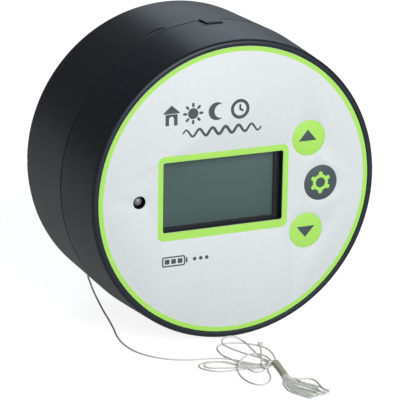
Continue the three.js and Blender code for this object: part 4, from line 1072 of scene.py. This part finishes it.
def sun(x, z):
    """Printed sun: a disc and eight short rays."""
    pieces = [layer("disc", circle(x, z, 2.7, 40))]
    for i in range(8):
        a = math.pi * i / 4
        pieces.append(stroke(x + 3.7 * math.cos(a), z + 3.7 * math.sin(a),
                             x + 4.7 * math.cos(a), z + 4.7 * math.sin(a), 1.25))
    return pieces


def moon(x, z):
    """Printed crescent, open to the right."""
    outer = [(x + 4.4 * math.cos(a), z + 4.4 * math.sin(a))
             for a in (math.radians(50 + 260 * i / 40) for i in range(41))]
    tip, tail = outer[-1], outer[0]
    cx, cz, r = x + 2.15, z, math.hypot(tip[0] - x - 2.15, tip[1] - z)
    a0, a1 = math.atan2(tip[1] - cz, tip[0] - cx), math.atan2(tail[1] - cz, tail[0] - cx)
    sweep = (a1 - a0) % (2 * math.pi) - 2 * math.pi
    inner = [(cx + r * math.cos(a0 + sweep * i / 40), cz + r * math.sin(a0 + sweep * i / 40))
             for i in range(1, 40)]
    return [layer("crescent", outer + inner)]


def clock(x, z):
    """Printed clock face with two hands."""
    return [ring_layer("dial", x, z, 3.3, 4.9, 56),
            stroke(x, z, x, z + 2.0, 1.0), stroke(x, z, x + 1.4, z - 0.85, 1.0)]


def make_pictograms():
    marks = hut(-34.6, 41.0) + sun(-23.4, 41.0) + moon(-11.0, 41.0) + clock(1.2, 41.0)
    marks.append(wave(-28.6, 12.5, 31.4, 1.7, 6.85, 1.5))
    # Level marks under the window: a cell with three bars.
    marks.append(layer("cell", rounded_box(-38.8, -26.6, -34.4, -29.2, 1.0),
                       [rounded_box(-38.1, -27.3, -33.7, -29.9, 0.5)]))
    marks.append(layer("nub", rounded_box(-26.3, -25.4, -33.1, -30.5, 0.3)))
    marks += [layer("level", rounded_box(-37.4 + 3.4 * i, -34.9 + 3.4 * i, -33.0, -30.6, 0.3))
              for i in range(3)]
    marks += [layer("dot", circle(-21.6 + 3.2 * i, -31.8, 0.95, 24)) for i in range(3)]
    finish(merge("pictograms", marks), DARK, "dark_print")


def gear_outline(x, z, root, tip):
    """A wheel with six rounded lobes."""
    points = []
    for i in range(192):
        a = 2 * math.pi * i / 192
        s = math.cos(6 * (a - math.pi / 2))
        r = root + (tip - root) / (1 + math.exp(-9 * (s - 0.3)))
        points.append((x + r * math.cos(a), z + r * math.sin(a)))
    return points


def triangle(*corners):
    """A triangle with slightly rounded corners."""
    r, points = 0.25, []
    for i in range(3):
        p, before, after = (np.array(corners[i]), np.array(corners[i - 1]),
                            np.array(corners[(i + 1) % 3]))
        one = p + (before - p) / np.linalg.norm(before - p) * r
        two = p + (after - p) / np.linalg.norm(after - p) * r
        for t in (0, 0.5, 1):
            points.append(tuple((1 - t) ** 2 * one + 2 * t * (1 - t) * p + t * t * two))
    return points


def make_keys():
    marks = {
        "up": [layer("arrow", triangle((37.98, 27.0), (33.05, 21.34), (42.87, 21.36)))],
        "down": [layer("arrow", triangle((38.02, -27.96), (43.1, -22.4), (33.27, -22.45)))],
        "settings": [layer("wheel", gear_outline(45.7, -0.7, 4.15, 5.55),
                           [circle(45.7, -0.7, 2.55, 48)])]}
    lime, dark = (LIME, "lime_print"), (DARK, "dark_print")
    for key, (x, z) in KEYS.items():
        body = key + "_button"
        base, mark = (dark, lime) if key == "settings" else (lime, dark)
        pad = turned(key + "_pad", [
            (0, FACE_Y), (KEY_R - 0.08, FACE_Y), (KEY_R - 0.02, FACE_Y + 0.02),
            (KEY_R, FACE_Y + 0.08), (KEY_R, SEAT_Y - 0.1), (0, SEAT_Y - 0.1)], 96, x, z)
        finish(pad, *base, body, replaces=(key + "_key",))
        finish(merge(key + "_mark", marks[key]), *mark, body)


make_face()
make_pictograms()
make_keys()

# ------------------------------------------------------------------ display and sensor

PANE_Y, PANE_T = PANEL_Y + 0.2, 1.3
DISPLAY_Y, DISPLAY_T = -79.6, 2.7


def centred(half_x, half_z, r):
    """Outline of a sheet behind the window, on the window's middle."""
    return rounded_box(WINDOW_X - half_x, WINDOW_X + half_x, WINDOW_Z - half_z,
                       WINDOW_Z + half_z, r)


def make_display():
    pane = soften(prism("window_glazing", centred(33.7, 19.6, 1.5), PANE_Y, PANE_Y + PANE_T),
                  0.25, 3)
    finish(pane, PANE, "pane", replaces=("window_pane",))
    back = DISPLAY_Y + DISPLAY_T
    glass = soften(prism("glass", centred(33.3, 19.1, 0.4), DISPLAY_Y + 0.25, back - 0.25),
                   0.12)
    films = [soften(prism("film", centred(31.9, 17.7, 0.3), a, b), 0.05)
             for a, b in ((DISPLAY_Y, DISPLAY_Y + 0.24), (back - 0.24, back))]
    finish(merge("crystal_cell", [glass, *films]), CRYSTAL, "display",
           replaces=("display_glass",))


def make_sensor():
    """A 5 mm domed lens on a flange, with its two wires."""
    x, z = SENSOR
    r, tip, base, end = 2.5, FACE_Y + 1.1, -79.6, -78.4
    dome = [(r * math.sin(a), tip + r * (1 - math.cos(a)))
            for a in (math.pi / 2 * i / 16 for i in range(17))]
    lens = turned("sensor_lens", dome + [
        (r, base - 0.1), (2.6, base), (2.85, base), (2.9, base + 0.08), (2.9, end - 0.1),
        (2.8, end), (0, end)], 64, x, z)
    wires = [bar("wire", x + off, z, 0.3, end - 0.2, BOARD_Y - 0.2, 16)
             for off in (-1.27, 1.27)]
    lens = combine(lens, "UNION", *wires)
    finish(lens, LENS, "lens", replaces=("light_sensor",))


make_display()
make_sensor()

# ------------------------------------------------------------------ screws


SCREW_TURN = 0.9                 # how much further each screw is turned than the one before


def screw_tree():
    """Geometry nodes: the screw mesh on each point, turned by its own amount."""
    tree = bpy.data.node_groups.new("screw set", "GeometryNodeTree")
    face = tree.interface
    face.new_socket("Geometry", in_out="INPUT", socket_type="NodeSocketGeometry")
    face.new_socket("Screw", in_out="INPUT", socket_type="NodeSocketObject")
    face.new_socket("Finish", in_out="INPUT", socket_type="NodeSocketMaterial")
    face.new_socket("Turn", in_out="INPUT", socket_type="NodeSocketFloat")
    face.new_socket("Tilt", in_out="INPUT", socket_type="NodeSocketFloat")
    face.new_socket("Geometry", in_out="OUTPUT", socket_type="NodeSocketGeometry")
    new, link = tree.nodes.new, tree.links.new
    given, out = new("NodeGroupInput"), new("NodeGroupOutput")
    info, place = new("GeometryNodeObjectInfo"), new("GeometryNodeInstanceOnPoints")
    index, times = new("GeometryNodeInputIndex"), new("ShaderNodeMath")
    times.operation = "MULTIPLY"
    angle = new("ShaderNodeCombineXYZ")
    real, dress = new("GeometryNodeRealizeInstances"), new("GeometryNodeSetMaterial")
    link(given.outputs["Screw"], info.inputs["Object"])
    link(index.outputs[0], times.inputs[0])
    link(given.outputs["Turn"], times.inputs[1])
    link(times.outputs[0], angle.inputs["Y"])
    link(given.outputs["Tilt"], angle.inputs["X"])
    link(given.outputs["Geometry"], place.inputs["Points"])
    link(info.outputs["Geometry"], place.inputs["Instance"])
    link(angle.outputs[0], place.inputs["Rotation"])
    link(place.outputs[0], real.inputs[0])
    link(real.outputs[0], dress.inputs["Geometry"])
    link(given.outputs["Finish"], dress.inputs["Material"])
    link(dress.outputs[0], out.inputs[0])
    return tree


def cross_screw():
    """A pan-head screw with a cross recess: its head's underside is at y = 0, looking to +Y."""
    head_r, edge_y = 2.8, 0.75
    thread = [(1.02 if i % 2 else 1.3, -6.6 + i * 0.33) for i in range(20)]
    profile = [(0, -7.4), (0.45, -7.1), *thread, (1.2, 0), (2.7, 0), (head_r, 0.12),
               (head_r, edge_y)]
    profile += [(head_r - 0.8 * (1 - math.cos(a)), edge_y + math.sin(a))
                for a in (math.pi / 2 * i / 6 for i in range(1, 7))]
    profile.append((0, 1.8))
    screw = turned("screw", profile, 40)
    arms = [soften(block("arm", *span, edge_y, 3.0, *rise), 0.1, 1)
            for span, rise in (((-1.45, 1.45), (-0.32, 0.32)), ((-0.32, 0.32), (-1.45, 1.45)))]
    return combine(screw, "DIFFERENCE", *arms)


def make_screws():
    """Both sets of screws, one mesh for each set of three nodes."""
    tree = screw_tree()
    ids = {item.name: item.identifier for item in tree.interface.items_tree
           if item.item_type == "SOCKET" and item.in_out == "INPUT"}
    for name, y, spots, tilt in (
            ("board_screw", BOARD_Y + BOARD_T + 0.1, BOARD_SCREWS, 0.0),
            ("chassis_screw", CHASSIS_Y - 0.1, CHASSIS_SCREWS, math.pi)):
        screw = cross_screw()
        mesh = bpy.data.meshes.new(name)
        mesh.from_pydata([(x * MM, y * MM, z * MM) for x, z in spots], [], [])
        obj = bpy.data.objects.new(name + "s", mesh)
        bpy.context.collection.objects.link(obj)
        step = obj.modifiers.new("screws", "NODES")
        step.node_group = tree
        step[ids["Screw"]], step[ids["Finish"]] = screw, STEEL
        step[ids["Turn"]], step[ids["Tilt"]] = SCREW_TURN, tilt
        plain_mesh(obj)
        bpy.data.objects.remove(screw)
        finish(obj, STEEL, "steel", replaces=[f"{name}_{i + 1}" for i in range(3)])


make_screws()

# ------------------------------------------------------------------ floor and light

FLOOR_HALF = 6.0                 # in metres
FLOOR_COLOUR = 0.55
FLOOR_GLOW = 0.88                # lifts the floor to white without lighting the part from below
FLOOR_GLOSS = 0.25               # share of it that the gloss of the part shows
ROOM_TINT, ROOM_STRENGTH = (0.93, 0.97, 1.0, 1), 0.14


def make_stage():
    mesh, h, z = bpy.data.meshes.new("floor"), FLOOR_HALF, GROUND_Z * MM
    mesh.from_pydata([(-h, -h, z), (h, -h, z), (h, h, z), (-h, h, z)], [], [(0, 1, 2, 3)])
    floor = bpy.data.objects.new("floor", mesh)
    bpy.context.collection.objects.link(floor)
    paper = bpy.data.materials.new("white paper")
    paper.use_nodes = True
    tree = paper.node_tree
    shader = tree.nodes["Principled BSDF"]
    shader.inputs["Base Color"].default_value = (*(FLOOR_COLOUR,) * 3, 1)
    shader.inputs["Roughness"].default_value = 0.9
    shader.inputs["Specular IOR Level"].default_value = 0.1
    shader.inputs["Emission Color"].default_value = (1, 1, 1, 1)
    rays = tree.nodes.new("ShaderNodeLightPath")
    seen = maths(tree, "MULTIPLY_ADD", rays.outputs["Is Glossy Ray"], FLOOR_GLOSS,
                 rays.outputs["Is Camera Ray"])
    glow = maths(tree, "MULTIPLY", seen, FLOOR_GLOW)
    tree.links.new(glow, shader.inputs["Emission Strength"])
    mesh.materials.append(paper)


def make_world():
    """A dim bluish room that the camera sees as white."""
    world = bpy.data.worlds.new("studio")
    bpy.context.scene.world = world
    world.use_nodes = True
    tree = world.node_tree
    tree.nodes.clear()
    out, mix = tree.nodes.new("ShaderNodeOutputWorld"), tree.nodes.new("ShaderNodeMixShader")
    rays = tree.nodes.new("ShaderNodeLightPath")
    soft, white = (tree.nodes.new("ShaderNodeBackground") for _ in range(2))
    soft.inputs["Color"].default_value = ROOM_TINT
    soft.inputs["Strength"].default_value = ROOM_STRENGTH
    white.inputs["Strength"].default_value = 1.0
    white.inputs["Color"].default_value = (1, 1, 1, 1)
    tree.links.new(rays.outputs["Is Camera Ray"], mix.inputs[0])
    tree.links.new(soft.outputs[0], mix.inputs[1])
    tree.links.new(white.outputs[0], mix.inputs[2])
    tree.links.new(mix.outputs[0], out.inputs[0])


def area_light(name, place, aim, size, power, colour=(1, 1, 1)):
    data = bpy.data.lights.new(name, "AREA")
    data.shape, data.size, data.energy, data.color = "SQUARE", size, power, colour
    lamp = bpy.data.objects.new(name, data)
    bpy.context.collection.objects.link(lamp)
    lamp.location = place
    lamp.rotation_euler = (Vector(aim) - Vector(place)).to_track_quat("-Z", "Y").to_euler()


make_stage()
make_world()
area_light("front_softbox", (0.2, -1.6, 0.7), (0, -0.06, 0), 1.1, 26)
area_light("rear_softbox", (0.7, 1.1, 0.8), (0, -0.05, 0), 1.0, 3.4, (0.8, 0.9, 1.0))
bpy.context.scene.view_settings.view_transform = "Standard"
